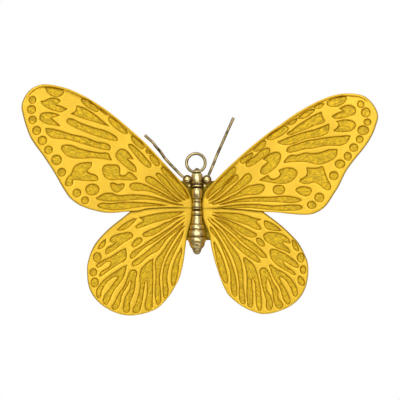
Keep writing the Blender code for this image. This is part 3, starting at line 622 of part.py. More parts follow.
def turned(name, profile, centre, sides, material):
    """A solid of revolution about a vertical axis; the profile runs from the top to the bottom."""
    verts, faces, rows = [], [], []
    for radius, up in profile:
        if radius == 0:
            rows.append([len(verts)])
            verts.append(placed(centre[0], centre[1], up))
            continue
        row = []
        for i in range(sides):
            turn = 2 * math.pi * i / sides
            row.append(len(verts))
            verts.append(placed(centre[0] + radius * math.cos(turn), centre[1] + radius * math.sin(turn), up))
        rows.append(row)
    for upper, lower in zip(rows, rows[1:]):
        for i in range(sides):
            j = (i + 1) % sides
            if len(upper) == 1:
                faces.append([upper[0], lower[i], lower[j]])
            elif len(lower) == 1:
                faces.append([upper[i], lower[0], upper[j]])
            else:
                faces.append([upper[i], lower[i], lower[j], upper[j]])
    return finish(name, verts, faces, material)


def ball(name, across, depth, up, radius, sides, material):
    rows = 8
    profile = [(0.0, up + radius)]
    profile += [(radius * math.sin(math.pi * i / rows), up + radius * math.cos(math.pi * i / rows))
                for i in range(1, rows)]
    profile.append((0.0, up - radius))
    return turned(name, profile, (across, depth), sides, material)


def wire(name, points, radius, sides, material, closed=False):
    """A round wire along a list of (across, depth, up) points."""
    spots = [placed(*p) for p in points]
    count = len(spots)
    verts, faces = [], []
    for i, spot in enumerate(spots):
        if closed:
            along = spots[(i + 1) % count] - spots[i - 1]
        else:
            along = spots[min(i + 1, count - 1)] - spots[max(i - 1, 0)]
        along.normalize()
        across = along.cross(Vector((0, 1, 0))).normalized()
        third = along.cross(across)
        for k in range(sides):
            turn = 2 * math.pi * k / sides
            verts.append(spot + (across * math.cos(turn) + third * math.sin(turn)) * radius * MM)
    for i in range(count if closed else count - 1):
        a, b = i * sides, (i + 1) % count * sides
        for k in range(sides):
            m = (k + 1) % sides
            faces.append([a + k, a + m, b + m, b + k])
    if not closed:
        faces.append(list(range(sides))[::-1])
        faces.append(list(range((count - 1) * sides, count * sides)))
    return finish(name, verts, faces, material)


def join_solid(target, other):
    step = target.modifiers.new("join", "BOOLEAN")
    step.operation = "UNION"
    step.solver = "EXACT"
    step.object = other
    bpy.context.view_layer.update()
    graph = bpy.context.evaluated_depsgraph_get()
    mesh = bpy.data.meshes.new_from_object(target.evaluated_get(graph))
    target.modifiers.clear()
    target.data = mesh
    bpy.data.objects.remove(other)


def surface(name, colour, metallic, roughness):
    material = bpy.data.materials.new(name)
    material.use_nodes = True
    shader = material.node_tree.nodes["Principled BSDF"]
    shader.inputs["Base Color"].default_value = (*colour, 1)
    shader.inputs["Metallic"].default_value = metallic
    shader.inputs["Roughness"].default_value = roughness
    return material


def build_body(material):
    body = turned("body", BODY_PROFILE, (0.0, BODY_Y), BODY_SIDES, material)
    for across, up, radius in EYES:
        join_solid(body, ball("eye", across, BODY_Y - 0.4, up, radius, 12, material))
        link = [(across * 0.35, BODY_Y, up - 0.2), (across * 0.92, BODY_Y - 0.1, up)]
        join_solid(body, wire("eye link", link, 1.4, 8, material))
    for across, up, radius in LOBES:
        join_solid(body, ball("lobe", across, BODY_Y - 0.9, up, radius, 8, material))
        link = [(across * 0.3, BODY_Y - 0.3, up), (across, BODY_Y - 0.9, up)]
        join_solid(body, wire("lobe link", link, 0.6, 6, material))
    for up, radius in PEGS:
        peg = [(0.0, BODY_Y, up), (0.0, plate_front(0.0) - STRIP_GAP, up)]
        join_solid(body, wire("peg", peg, radius, 8, material))
    return body


def build_antenna(name, line, material):
    total = len(line) - 1
    points = [(x, ANTENNA_Y[0] + (ANTENNA_Y[1] - ANTENNA_Y[0]) * i / total, z) for i, (x, z) in enumerate(line)]
    return wire(name, points, ANTENNA_R, 8, material)


def build_ring(material):
    turns = [2 * math.pi * i / 28 for i in range(28)]
    x, z = RING_CENTRE
    points = [(x + RING_RADIUS * math.cos(t), RING_DEPTH, z + RING_RADIUS * math.sin(t)) for t in turns]
    ring = wire("hanging_ring", points, WIRE_R, 8, material, closed=True)
    shank = [(x, RING_DEPTH, z - RING_RADIUS), (x, RING_DEPTH, SHANK_END)]
    join_solid(ring, wire("shank", shank, WIRE_R * 0.97, 8, material))
    return ring


def plate_front(across):
    """Depth of the strip's front: behind the wings' backs, with a flat middle."""
    shift = PLATE * math.sin(TILT)
    wing_back = PLATE * math.cos(TILT) - (max(abs(across), STRIP_FLAT[0]) - shift) * math.tan(TILT)
    return wing_back + STRIP_GAP / math.cos(TILT)


def build_plate(material):
    rear = plate_front(0.0) + STRIP_THICK
    tip = plate_front(STRIP_HALF)
    section = [(-STRIP_HALF, tip), (-STRIP_FLAT[0], plate_front(0.0)), (STRIP_FLAT[0], plate_front(0.0)),
               (STRIP_HALF, tip), (STRIP_HALF, tip + STRIP_THICK), (STRIP_FLAT[1], rear),
               (-STRIP_FLAT[1], rear), (-STRIP_HALF, tip + STRIP_THICK)]
    count = len(section)
    verts = [placed(x, y, z) for z in STRIP_Z for x, y in section]
    faces = [[i, (i + 1) % count, count + (i + 1) % count, count + i] for i in range(count)]
    halves = [(0, 1, 6, 7), (1, 2, 5, 6), (2, 3, 4, 5)]
    faces += [list(half)[::-1] for half in halves]
    faces += [[count + i for i in half] for half in halves]
    return finish("back_plate", verts, faces, material)


def main():
    for old in list(bpy.data.objects):
        bpy.data.objects.remove(old)
    build_wing("wing_left", -1, LEFT, surface("yellow lacquer left", (0.80, 0.52, 0.06), 0.3, 0.4))
    build_wing("wing_right", 1, RIGHT, surface("yellow lacquer right", (0.80, 0.52, 0.06), 0.3, 0.4))
    build_body(surface("aged brass body", (0.45, 0.33, 0.12), 1.0, 0.3))
    build_antenna("antenna_left", ANTENNA_LEFT, surface("aged brass left wire", (0.30, 0.22, 0.10), 1.0, 0.35))
    build_antenna("antenna_right", ANTENNA_RIGHT, surface("aged brass right wire", (0.30, 0.22, 0.10), 1.0, 0.35))
    build_ring(surface("aged brass ring", (0.38, 0.30, 0.16), 1.0, 0.35))
    build_plate(surface("dark brass plate", (0.22, 0.16, 0.07), 1.0, 0.5))


main()
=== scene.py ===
import math

import bmesh
import bpy
import numpy as np
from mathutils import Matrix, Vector, kdtree
from mathutils.geometry import delaunay_2d_cdt


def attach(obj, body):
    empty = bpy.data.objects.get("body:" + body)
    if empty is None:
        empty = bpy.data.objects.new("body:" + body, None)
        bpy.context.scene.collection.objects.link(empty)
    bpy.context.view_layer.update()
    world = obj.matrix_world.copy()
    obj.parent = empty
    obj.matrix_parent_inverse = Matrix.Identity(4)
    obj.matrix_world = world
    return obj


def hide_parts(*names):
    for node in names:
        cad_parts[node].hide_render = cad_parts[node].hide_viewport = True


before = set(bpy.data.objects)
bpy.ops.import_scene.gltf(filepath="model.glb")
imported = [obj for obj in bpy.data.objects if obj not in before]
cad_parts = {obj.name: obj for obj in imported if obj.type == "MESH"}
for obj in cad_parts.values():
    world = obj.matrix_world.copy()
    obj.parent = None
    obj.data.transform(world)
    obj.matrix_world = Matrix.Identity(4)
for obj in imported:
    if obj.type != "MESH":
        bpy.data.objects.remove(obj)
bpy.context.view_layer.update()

bl_info = {
    "name": "Butterfly Wall Ornament",
    "version": (1, 0, 0),
    "blender": (4, 5, 0),
    "location": "3D View > Sidebar > Butterfly",
    "description": "Cast lacquered wings, aged brass body, wire antennae and hanging ring",
    "category": "Object",
}

MM = 0.001
ORIGIN = (-0.55, 1.1, 26.98)     # the ring's inside top, in mm from the waist of the body
TILT = math.radians(12)          # tips of the wings stand forward
PLATE = 2.2                      # thickness of a wing
STEP = 0.9                       # forewing in front of the hind wing
STEP_RUN = (2.3, 26.0)           # where along the wing the step begins and is full
RECESS = 0.8                     # depth of the sunk cells
BODY_Y = -3.0                    # depth of the body's axis
CORNER = math.radians(48)        # a sharper turn in an outline stays a corner
EDGE_ROUND = 0.55                # width of the rounding along the wing's edge
EDGE_DROP = 0.4                  # depth of that rounding
FOLD_RUN = 0.32                  # width over which the forewing's step rises
COSTAL_BEAD = (0.6, 0.45)        # half width and height of the bead along the leading edge
COSTAL_GROOVE = (1.45, 0.4)      # the groove behind that bead: distance from the edge, depth
COSTAL_END = (84.0, 88.0)        # where along the wing the bead and the groove fade
ROW_RATIO = 0.866                # spacing of the rows in an even grid, over that within a row
WALL_ROW = 0.25                  # from the edges of the wing's wall to its inner rows of points

# Rows of points beside the cells' edges (inside is positive), the outline and the crease, in mm
LIP_ROWS = (-0.45, -0.1, 0.18, 0.4, 0.8)
RIM_ROWS = (0.2, 0.5, 0.85, 1.2, 1.6)
CREASE_ROWS = (-0.3, 0.3, 0.7)

# How many sides the round pieces have
BODY_SIDES, EYE_SIDES, BALL_SIDES, ROD_SIDES, WIRE_SIDES = 72, 40, 28, 20, 24

# Radius and height of the turned body, in mm, from the crest down to the tail
BODY_PROFILE = [
    (0.0, 20.5), (0.45, 20.38), (0.9, 20.12), (1.3, 19.8), (1.65, 19.45), (2.05, 19.1), (2.4, 18.75),
    (2.5, 18.5), (2.35, 18.3), (1.85, 18.2), (1.75, 18.08), (1.95, 17.95), (2.4, 17.75), (2.75, 17.1),
    (2.87, 16.0), (2.87, 15.0), (2.8, 14.0), (2.65, 13.0), (2.4, 12.5), (2.15, 12.3), (2.45, 12.12),
    (2.7, 11.75), (2.68, 11.45), (2.4, 11.15), (1.95, 10.98), (2.1, 10.7), (2.4, 10.1), (2.6, 9.1),
    (2.66, 8.0), (2.5, 6.8), (2.2, 5.8), (1.8, 5.2), (1.68, 5.05), (1.85, 4.85), (1.97, 4.5), (1.97, 4.0),
    (1.85, 3.65), (1.65, 3.5), (1.85, 3.3), (2.1, 2.75), (2.2, 2.1), (2.2, 1.4), (2.05, 0.85), (1.9, 0.68),
    (2.15, 0.55), (2.22, 0.3), (2.1, 0.05), (1.72, -0.08), (1.66, -0.4), (1.72, -0.78), (2.05, -0.95),
    (2.35, -1.35), (2.42, -1.8), (2.35, -2.35), (2.1, -2.8), (1.9, -2.98), (1.95, -3.15), (2.15, -3.45),
    (2.3, -4.4), (2.45, -5.5), (2.6, -6.8), (2.62, -7.3), (2.45, -7.55), (2.5, -7.7), (3.05, -7.85),
    (3.35, -8.3), (3.45, -8.9), (3.45, -9.5), (3.3, -10.0), (3.1, -10.2), (3.1, -10.4), (3.55, -10.55),
    (3.85, -11.1), (4.02, -12.0), (4.02, -12.9), (3.85, -13.5), (3.62, -13.72), (3.62, -13.9), (4.1, -14.1),
    (4.42, -14.7), (4.5, -15.3), (4.45, -16.0), (4.15, -16.55), (3.8, -16.75), (3.72, -16.92), (3.9, -17.1),
    (3.87, -17.6), (3.55, -18.4), (3.15, -19.0), (2.75, -19.5), (2.4, -19.75), (2.3, -19.92), (2.35, -20.1),
    (2.12, -20.7), (1.75, -21.6), (1.4, -22.1), (0.9, -22.5), (0.0, -22.7)]
ABDOMEN_TOP = -5.0               # the rings below it are less tarnished
EYES = [(-4.85, 14.8, 2.28), (4.95, 14.7, 2.33)]   # across, up, radius
LOBES = [(-3.9, 11.6, 0.98), (3.9, 11.6, 0.98)]    # the small balls below the eyes, the same way
PEGS = [(7.6, 1.2), (-11.8, 1.6)]                  # up, radius
PEG_BACK = 1.8                   # how far back the pegs reach
ANTENNA_Y = (-3.4, -5.8)         # depth of the antennae at the head and at their tips
ANTENNA_LEFT = [(-6.85, 15.95), (-8.4, 17.3), (-10.5, 19.5), (-12.7, 21.7), (-14.8, 24.0), (-15.9, 25.2),
                (-17.4, 27.4), (-19.1, 29.6), (-20.4, 31.0), (-21.8, 33.0), (-23.8, 34.8), (-26.0, 36.8)]
ANTENNA_RIGHT = [(5.8, 16.95), (8.0, 22.0), (10.1, 27.2), (12.2, 32.0), (14.6, 37.4), (18.2, 45.5)]
RING_CENTRE = (-0.55, 23.06)     # across, up
RING_DEPTH = 1.1
SHANK_END = 10.8                 # height at which the ring's shank ends
SHANK_STEP = 0.5
WIRE_SPACING = 0.35              # of the rings of points along a wire
WIRE_UNEVENNESS = 0.12           # a drawn wire's change of thickness
FLOOR = (0.45, 0.35, -0.5)       # half width, half depth and height of the floor, in metres


# ---- places

def placed(across, depth, up):
    """A place in the row frame, in metres, from mm measured at the waist of the body."""
    return Vector(((across - ORIGIN[0]) * MM, (depth - ORIGIN[1]) * MM, (up - ORIGIN[2]) * MM))


def ramp(value, start, end):
    """0 before the start, 1 past the end and smooth between them."""
    t = np.clip((np.asarray(value, float) - start) / (end - start), 0.0, 1.0)
    return t * t * (3 - 2 * t)


def to_wing(points, side):
    """Row frame in metres to (along the wing, up, height of the surface) in mm."""
    mm = np.asarray(points) / MM + np.array(ORIGIN)
    across, depth = side * mm[:, 0], mm[:, 1]
    along = across * math.cos(TILT) - depth * math.sin(TILT)
    height = -across * math.sin(TILT) - depth * math.cos(TILT)
    return np.column_stack([along, mm[:, 2], height])


def from_wing(along, up, height, side):
    """The way back from to_wing."""
    across = along * math.cos(TILT) - height * math.sin(TILT)
    depth = -along * math.sin(TILT) - height * math.cos(TILT)
    return (np.column_stack([side * across, depth, up]) - np.array(ORIGIN)) * MM


# ---- the outlines of the cast wing, found on its plain solid

def chained(edges):
    """Closed loops of directed edges."""
    follow = dict(edges)
    loops = []
    while follow:
        start, at = next(iter(follow.items()))
        del follow[start]
        loop = [start]
        while at != start and at in follow:
            loop.append(at)
            at = follow.pop(at)
        loops.append(loop)
    return loops


def loop_area(p):
    q = np.roll(p, -1, axis=0)
    return 0.5 * np.sum(p[:, 0] * q[:, 1] - q[:, 0] * p[:, 1])


def read_outlines(node, side):
    """The wing's outline, its forewing's outline and its cells, each a loop of (along, up)."""
    mesh = node.data
    places, index, spots = {}, [], []
    for v in mesh.vertices:
        key = tuple(round(c / MM, 2) for c in v.co)
        if key not in places:
            places[key] = len(spots)
            spots.append(v.co[:])
        index.append(places[key])
    plane = to_wing(spots, side)
    facing = {1: [], -1: []}
    for poly in mesh.polygons:
        tri = [index[i] for i in poly.vertices]
        if len(set(tri)) < 3:
            continue
        a, b, c = (plane[i] for i in tri)
        normal = np.cross(b - a, c - a) * side
        length = np.linalg.norm(normal)
        if length > 0 and abs(normal[2]) > 0.7 * length:
            facing[1 if normal[2] > 0 else -1].append((tri, length / 2))

    def patches(tris):
        parent = list(range(len(tris)))

        def top(i):
            while parent[i] != i:
                parent[i] = parent[parent[i]]
                i = parent[i]
            return i
        seen = {}
        for number, (tri, _) in enumerate(tris):
            for k in range(3):
                edge = tuple(sorted((tri[k], tri[(k + 1) % 3])))
                if edge in seen:
                    parent[top(number)] = top(seen[edge])
                seen[edge] = number
        groups = {}
        for number, item in enumerate(tris):
            groups.setdefault(top(number), []).append(item)
        found = []
        for group in groups.values():
            edges = {(t[k], t[(k + 1) % 3]) for t, _ in group for k in range(3)}
            rim = [(a, b) for a, b in edges if (b, a) not in edges]
            loops = [plane[loop] for loop in chained(rim)]
            found.append((sum(area for _, area in group), loops))
        return sorted(found, key=lambda item: -item[0])

    front = patches(facing[1])
    fields = sorted(front[:2], key=lambda item: -max(p[:, 2].max() for p in item[1]))
    outer = [max(loops, key=lambda p: abs(loop_area(p))) for _, loops in fields]
    outline = max(patches(facing[-1])[0][1], key=lambda p: abs(loop_area(p)))
    cells = [max(loops, key=lambda p: abs(loop_area(p))) for _, loops in front[2:]]
    return outline[:, :2], outer[0][:, :2], [c[:, :2] for c in cells if len(c) > 3]


def smooth_curve(points, closed, spacing, corner):
    """A curve through the points that keeps turns sharper than the corner angle."""
    points = np.asarray(points, float)
    count = len(points)
    spans = count if closed else count - 1
    steps = [points[(i + 1) % count] - points[i] for i in range(spans)]
    lengths = [max(np.linalg.norm(s), 1e-6) for s in steps]

    def tangent(i, span):
        before = (i - 1) % spans if closed else i - 1
        after = i % spans if closed else i
        if before < 0 or after >= spans:
            return steps[span] / lengths[span]
        a, b = steps[before] / lengths[before], steps[after] / lengths[after]
        if np.dot(a, b) < math.cos(corner):
            return steps[span] / lengths[span]
        mixed = a * lengths[after] + b * lengths[before]
        return mixed / max(np.linalg.norm(mixed), 1e-9)

    out = []
    for i in range(spans):
        p, q = points[i], points[(i + 1) % count]
        t0, t1 = tangent(i, i) * lengths[i], tangent(i + 1, i) * lengths[i]
        pieces = max(1, int(round(lengths[i] / spacing)))
        for k in range(pieces):
            t = k / pieces
            out.append((2 * t ** 3 - 3 * t * t + 1) * p + (t ** 3 - 2 * t * t + t) * t0
                       + (3 * t * t - 2 * t ** 3) * q + (t ** 3 - t * t) * t1)
    if not closed:
        out.append(points[-1])
    return np.array(out)


def contains(loop, points):
    """Which points lie inside a closed loop."""
    x, y = points[:, 0], points[:, 1]
    hit = np.zeros(len(points), bool)
    a, b = np.roll(loop, 1, axis=0), loop
    for (x0, y0), (x1, y1) in zip(a, b):
        if y0 != y1:
            hit ^= ((y0 > y) != (y1 > y)) & (x < (x1 - x0) * (y - y0) / (y1 - y0) + x0)
    return hit


def nearest(tree, points):
    """For each point: distance to the nearest one in the tree, its number and its place."""
    found = [tree.find((p[0], p[1], 0.0)) for p in points]
    away, index, spot = ([f[k] for f in found] for k in (2, 1, 0))
    return np.array(away), np.array(index), np.array([s[:2] for s in spot])


def tree_of(points):
    tree = kdtree.KDTree(len(points))
    for i, p in enumerate(points):
        tree.insert((p[0], p[1], 0.0), i)
    tree.balance()
    return tree


def beside(loop, offset, closed=True):
    """Points at one side of a loop, at a distance from it."""
    if closed:
        along = np.roll(loop, -1, axis=0) - np.roll(loop, 1, axis=0)
    else:
        along = np.gradient(loop, axis=0)
    along /= np.maximum(np.linalg.norm(along, axis=1), 1e-9)[:, None]
    return loop + np.column_stack([-along[:, 1], along[:, 0]]) * offset


def densified(loop, spacing, closed=True):
    """The same line with points no farther apart than about the spacing."""
    out = []
    count = len(loop)
    for i in range(count if closed else count - 1):
        p, q = loop[i], loop[(i + 1) % count]
        pieces = max(1, int(np.linalg.norm(q - p) / spacing))
        out += [p + (q - p) * k / pieces for k in range(pieces)]
    return np.array(out)


def relief_points(outline, crease, cells, grid):
    """Where the cast surface has its vertices: rows beside every edge, and an even grid between them."""
    edges_tree = tree_of(np.vstack([densified(c, 0.15) for c in cells]))
    rim_tree = tree_of(densified(outline, 0.2))
    extra = []
    for cell in cells:
        turn = 1 if loop_area(cell) > 0 else -1
        for offset in LIP_ROWS:
            row = beside(cell, offset * turn)
            away = nearest(edges_tree, row)[0]
            extra.append(row[away > abs(offset) * 0.85])
    turn = 1 if loop_area(outline) > 0 else -1
    for offset in RIM_ROWS:
        row = beside(outline, offset * turn)
        extra.append(row[nearest(rim_tree, row)[0] > offset * 0.85])
    for offset in CREASE_ROWS:
        extra.append(beside(crease, offset, closed=False))
    low, high = outline.min(axis=0), outline.max(axis=0)
    columns = np.arange(low[0], high[0], grid)
    rows = np.arange(low[1], high[1], grid * ROW_RATIO)
    lattice = np.vstack([np.column_stack([columns + (k % 2) * grid / 2, np.full(len(columns), y)])
                         for k, y in enumerate(rows)])
    lattice = lattice[contains(outline, lattice)]
    far = (nearest(edges_tree, lattice)[0] > 0.5) & (nearest(rim_tree, lattice)[0] > 0.6)
    extra.append(lattice[far])
    extra = np.vstack(extra)
    extra = extra[contains(outline, extra)]
    keep = nearest(rim_tree, extra)[0] > 0.12
    return extra[keep]


def wing_relief(places, outline, fore, crease, cells):
    """Height of the cast surface in mm, and the values that its finish reads, among them painted shade,
    painted shadow and painted highlight.
    """
    edge_tree = tree_of(np.vstack([densified(c, 0.1) for c in cells]))
    away, _, spot = nearest(edge_tree, places)
    inner = np.zeros(len(places), bool)
    for cell in cells:
        low, high = cell.min(axis=0), cell.max(axis=0)
        near = np.all((places >= low) & (places <= high), axis=1)
        inner[np.where(near)[0]] |= contains(cell, places[near])
    signed = np.where(inner, away, -away)
    signed[away < 0.02] = 0.0
    sunk = ramp(signed, -0.1, 0.4)
    height = -RECESS * sunk - 0.05 * ramp(signed, -0.55, -0.1) * (1 - sunk)
    height += 0.04 * ramp(signed, -0.95, -0.5) * (1 - ramp(signed, -0.5, -0.1))

    crease_tree = tree_of(densified(crease, 0.1, closed=False))
    fold_away, _, _ = nearest(crease_tree, places)
    on_fore = contains(fore, places)
    raise_by = STEP * ramp(places[:, 0], *STEP_RUN)
    rise = np.where(on_fore, ramp(fold_away, 0.0, FOLD_RUN), 0.0)
    rise[fold_away < 0.02] = 0.0
    height += raise_by * rise

    rim = densified(outline, 0.15)
    rim_tree = tree_of(rim)
    rim_away, rim_index, rim_spot = nearest(rim_tree, places)
    tangent = np.roll(rim, -3, axis=0) - np.roll(rim, 3, axis=0)
    if loop_area(outline) > 0:
        outward = np.column_stack([tangent[:, 1], -tangent[:, 0]])
    else:
        outward = np.column_stack([-tangent[:, 1], tangent[:, 0]])
    outward /= np.maximum(np.linalg.norm(outward, axis=1), 1e-9)[:, None]
    costal = ramp(outward[rim_index, 1], 0.1, 0.45) * ramp(rim_spot[:, 1], 2.0, 8.0)
    costal *= 1 - ramp(rim_spot[:, 0], *COSTAL_END)
    half, bead_height = COSTAL_BEAD
    groove_at, groove_depth = COSTAL_GROOVE
    bead = np.sqrt(np.clip(1 - ((rim_away - half) / half) ** 2, 0, 1))
    height += costal * (bead_height * bead - groove_depth * np.exp(-((rim_away - groove_at) / 0.25) ** 2))
    height -= EDGE_DROP * np.clip(1 - rim_away / EDGE_ROUND, 0, 1) ** 2

    # painted shade along the cells' walls, darker on their upper and outer sides, and in the groove behind
    # the leading edge's bead
    toward = spot - places
    toward /= np.maximum(np.linalg.norm(toward, axis=1), 1e-6)[:, None]
    shade = np.clip(0.8 + 0.2 * (toward[:, 0] * 0.45 + toward[:, 1] * 0.85), 0.6, 1.0)
    wall_shade = np.where(signed > -0.05, np.exp(-(np.maximum(signed - 0.15, 0) / 0.38) ** 2), 0.0) * shade
    wall_shade = np.maximum(wall_shade, costal * np.exp(-((rim_away - groove_at) / 0.3) ** 2) * 0.75)
    # painted shadow below the forewing's edge where it overlaps the hind wing, lighter towards the root, and
    # painted shade along the hind wing's upper rim
    fold_shadow = np.exp(-(fold_away / np.where(on_fore, 0.3, 0.55)) ** 2)
    fold_shadow *= 0.55 + 0.45 * ramp(places[:, 0], 3, 14)
    upper = ramp(outward[rim_index, 1], 0.1, 0.6) * np.exp(-(rim_away / 0.55) ** 2)
    fold_shadow = np.maximum(fold_shadow, np.where(on_fore, 0.0, 0.8 * upper))
    # painted highlight on the cells' rounded lips and on the leading edge's bead
    lip_highlight = np.where(inner, 0.0, np.exp(-((away - 0.3) / 0.3) ** 2))
    lip_highlight = np.maximum(lip_highlight, costal * bead)
    return height, {"sunk": sunk, "wall_shade": wall_shade, "lip_highlight": lip_highlight, "fold_shadow": fold_shadow}


def cast_wing(node_name, side, spacing, grid):
    """One casting: its relief in front, a wall along the outline and a flat back."""
    outline, fore, cells = read_outlines(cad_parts[node_name], side)
    on_outline = tree_of(outline)
    free = nearest(on_outline, fore)[0] > 0.05
    start = next(i for i in range(len(fore)) if free[i] and not free[i - 1])
    run = [fore[start - 1]]
    at = start
    while free[at % len(fore)]:
        run.append(fore[at % len(fore)])
        at += 1
    run.append(fore[at % len(fore)])
    if loop_area(fore) < 0:
        run = run[::-1]
    crease = smooth_curve(run, False, spacing * 1.2, CORNER)
    outline = smooth_curve(outline, True, spacing * 1.3, CORNER)
    fore = smooth_curve(fore, True, spacing, CORNER)
    cells = [smooth_curve(c, True, spacing, CORNER) for c in cells]

    loops = [outline] + cells
    points, links = [], []
    for loop in loops:
        first = len(points)
        points += [Vector(p) for p in loop]
        links += [(first + i, first + (i + 1) % len(loop)) for i in range(len(loop))]
    first = len(points)
    points += [Vector(p) for p in crease[1:-1]]
    links += [(first + i, first + i + 1) for i in range(len(crease) - 3)]
    extra = relief_points(outline, crease, cells, grid)
    points += [Vector(p) for p in extra]
    verts, _, tris, _, _, _ = delaunay_2d_cdt(points, links, [], 0, 1e-4)
    flat = np.array([v[:] for v in verts])
    tris = np.array([t for t in tris if len(t) == 3])
    middles = flat[tris].mean(axis=1)
    tris = tris[contains(outline, middles)]
    spans = flat[tris]
    area = (spans[:, 1, 0] - spans[:, 0, 0]) * (spans[:, 2, 1] - spans[:, 0, 1]) \
        - (spans[:, 1, 1] - spans[:, 0, 1]) * (spans[:, 2, 0] - spans[:, 0, 0])
    tris = np.where((area > 0)[:, None], tris, tris[:, ::-1])
    height, values = wing_relief(flat, outline, fore, crease, cells)

    edges = {(int(t[k]), int(t[(k + 1) % 3])) for t in tris for k in range(3)}
    rim = max(chained([(a, b) for a, b in edges if (b, a) not in edges]), key=len)
    count = len(flat)
    rim_flat = flat[rim]
    links = [(i, (i + 1) % len(rim)) for i in range(len(rim))]
    _, _, back, _, _, _ = delaunay_2d_cdt([Vector(p) for p in rim_flat], links, [], 0, 1e-6)
    back = [t for t in back if contains(rim_flat, rim_flat[list(t)].mean(axis=0)[None])[0]]
    lower = np.minimum(height[rim], STEP) - WALL_ROW
    along = np.concatenate([flat[:, 0], rim_flat[:, 0], rim_flat[:, 0], rim_flat[:, 0]])
    up = np.concatenate([flat[:, 1], rim_flat[:, 1], rim_flat[:, 1], rim_flat[:, 1]])
    tall = np.concatenate([height, lower, np.full(len(rim), -PLATE + WALL_ROW), np.full(len(rim), -PLATE)])
    places = from_wing(along, up, tall, side)
    faces = [tuple(int(i) for i in t) for t in tris]
    n = len(rim)
    for i in range(n):
        j = (i + 1) % n
        faces.append((rim[j], rim[i], count + i, count + j))
        faces.append((count + j, count + i, count + n + i, count + n + j))
        faces.append((count + n + j, count + n + i, count + 2 * n + i, count + 2 * n + j))
    for t in back:
        a, b, c = (rim_flat[i] for i in t)
        clockwise = (b[0] - a[0]) * (c[1] - a[1]) - (b[1] - a[1]) * (c[0] - a[0]) < 0
        tri = t if clockwise else t[::-1]
        faces.append(tuple(count + 2 * n + i for i in tri))
    if side < 0:
        faces = [f[::-1] for f in faces]
    piece = solid_from(node_name + "_cast", places, faces, 50)
    for key, data in values.items():
        tail = np.full(3 * n, 0.4 if key == "wall_shade" else 0.0)   # the wall and the back, with painted shade on them
        layer = piece.data.attributes.new(key, "FLOAT", "POINT")
        layer.data.foreach_set("value", np.concatenate([data, tail]).astype(np.float32))
    return piece


# ---- solids

def solid_from(name, places, faces, sharp_degrees):
    mesh = bpy.data.meshes.new(name)
    mesh.from_pydata([tuple(p) for p in places], [], faces)
    mesh.validate()
    mesh.shade_smooth()
    mesh.set_sharp_from_angle(angle=math.radians(sharp_degrees))
    piece = bpy.data.objects.new(name, mesh)
    bpy.context.scene.collection.objects.link(piece)
    return piece


def lathe(profile, axis, centre, sides, wobble=0.0):
    """Vertices and faces of a turned form. The profile gives radius and place along the axis."""
    verts, faces, rows, tops = [], [], [], []
    for radius, place in profile:
        row = []
        for i in range(1 if radius == 0 else sides):
            turn = 2 * math.pi * i / sides
            waves = math.sin(3 * turn + place * 1.3) + 0.6 * math.sin(5 * turn - place * 2.1)
            r = radius * (1 + wobble * waves)
            if axis == "Z":
                spot = (centre[0] + r * math.cos(turn), centre[1] + r * math.sin(turn), place)
            else:
                spot = (centre[0] + r * math.cos(turn), place, centre[1] - r * math.sin(turn))
            row.append(len(verts))
            verts.append(placed(*spot))
            tops.append(radius)
        rows.append(row)
    for upper, lower in zip(rows, rows[1:]):
        for i in range(sides):
            j = (i + 1) % sides
            if len(upper) == 1:
                faces.append((upper[0], lower[i], lower[j]))
            elif len(lower) == 1:
                faces.append((upper[i], lower[0], upper[j]))
            else:
                faces.append((upper[i], lower[i], lower[j], upper[j]))
    return verts, faces


def groove_values(profile):
    """How deep each row of a turned profile lies below its neighbours."""
    radii = np.array([p[0] for p in profile])
    places = np.array([p[1] for p in profile])
    deep = []
    for r, z in zip(radii, places):
        above = radii[(places >= z) & (places < z + 1.0)].max()
        below = radii[(places <= z) & (places > z - 1.0)].max()
        widest = radii[np.abs(places - z) < 1.1].max()
        full = 0.9 if z < ABDOMEN_TOP else 0.4
        deep.append(max((min(above, below) - r) / full, 0.35 * (widest - r) / 0.9))
    return np.clip(deep, 0, 1)


def joined(name, parts, sharp_degrees):
    """One piece from several (vertices, faces, tarnish per vertex)."""
    verts, faces, dark = [], [], []
    for part_verts, part_faces, part_dark in parts:
        start = len(verts)
        verts += part_verts
        faces += [tuple(start + i for i in f) for f in part_faces]
        dark += list(part_dark)
    piece = solid_from(name, verts, faces, sharp_degrees)
    layer = piece.data.attributes.new("tarnish", "FLOAT", "POINT")
    layer.data.foreach_set("value", np.array(dark, np.float32))
    bm = bmesh.new()
    bm.from_mesh(piece.data)
    bmesh.ops.recalc_face_normals(bm, faces=bm.faces)
    bm.to_mesh(piece.data)
    bm.free()
    return piece


def eye_parts(across, up, radius):
    """A bead in a turned bezel, its axis towards the viewer."""
    depth = BODY_Y - 0.4
    bezel = []
    for k in range(19):
        turn = math.pi * k / 18
        bezel.append((radius * math.sin(turn), depth - radius * 0.94 * math.cos(turn)))
    profile = []
    for r, y in bezel:
        dent = math.exp(-((r - radius * 0.74) / (radius * 0.09)) ** 2) if y < depth else 0.0
        profile.append((r, y + dent * radius * 0.16))
    profile[0], profile[-1] = (0.0, profile[0][1]), (0.0, profile[-1][1])
    fine = [(max(r, 0.0), y) for r, y in smooth_curve(profile, False, 0.12, math.radians(170))]
    fine[0], fine[-1] = (0.0, fine[0][1]), (0.0, fine[-1][1])
    verts, faces = lathe(fine, "Y", (across, up), EYE_SIDES)
    dark = [0.0]
    for r, y in fine[1:-1]:
        ring = math.exp(-((r - radius * 0.76) / (radius * 0.12)) ** 2) if y < depth else 0.6
        dark += [ring] * EYE_SIDES
    return verts, faces, dark + [0.6]


def ball_parts(across, depth, up, radius):
    """A plain ball, lightly tarnished."""
    profile = [(0.0, up + radius)]
    turns = [math.pi * i / 14 for i in range(1, 14)]
    profile += [(radius * math.sin(t), up + radius * math.cos(t)) for t in turns]
    profile.append((0.0, up - radius))
    verts, faces = lathe(profile, "Z", (across, depth), BALL_SIDES)
    return verts, faces, [0.15] * len(verts)


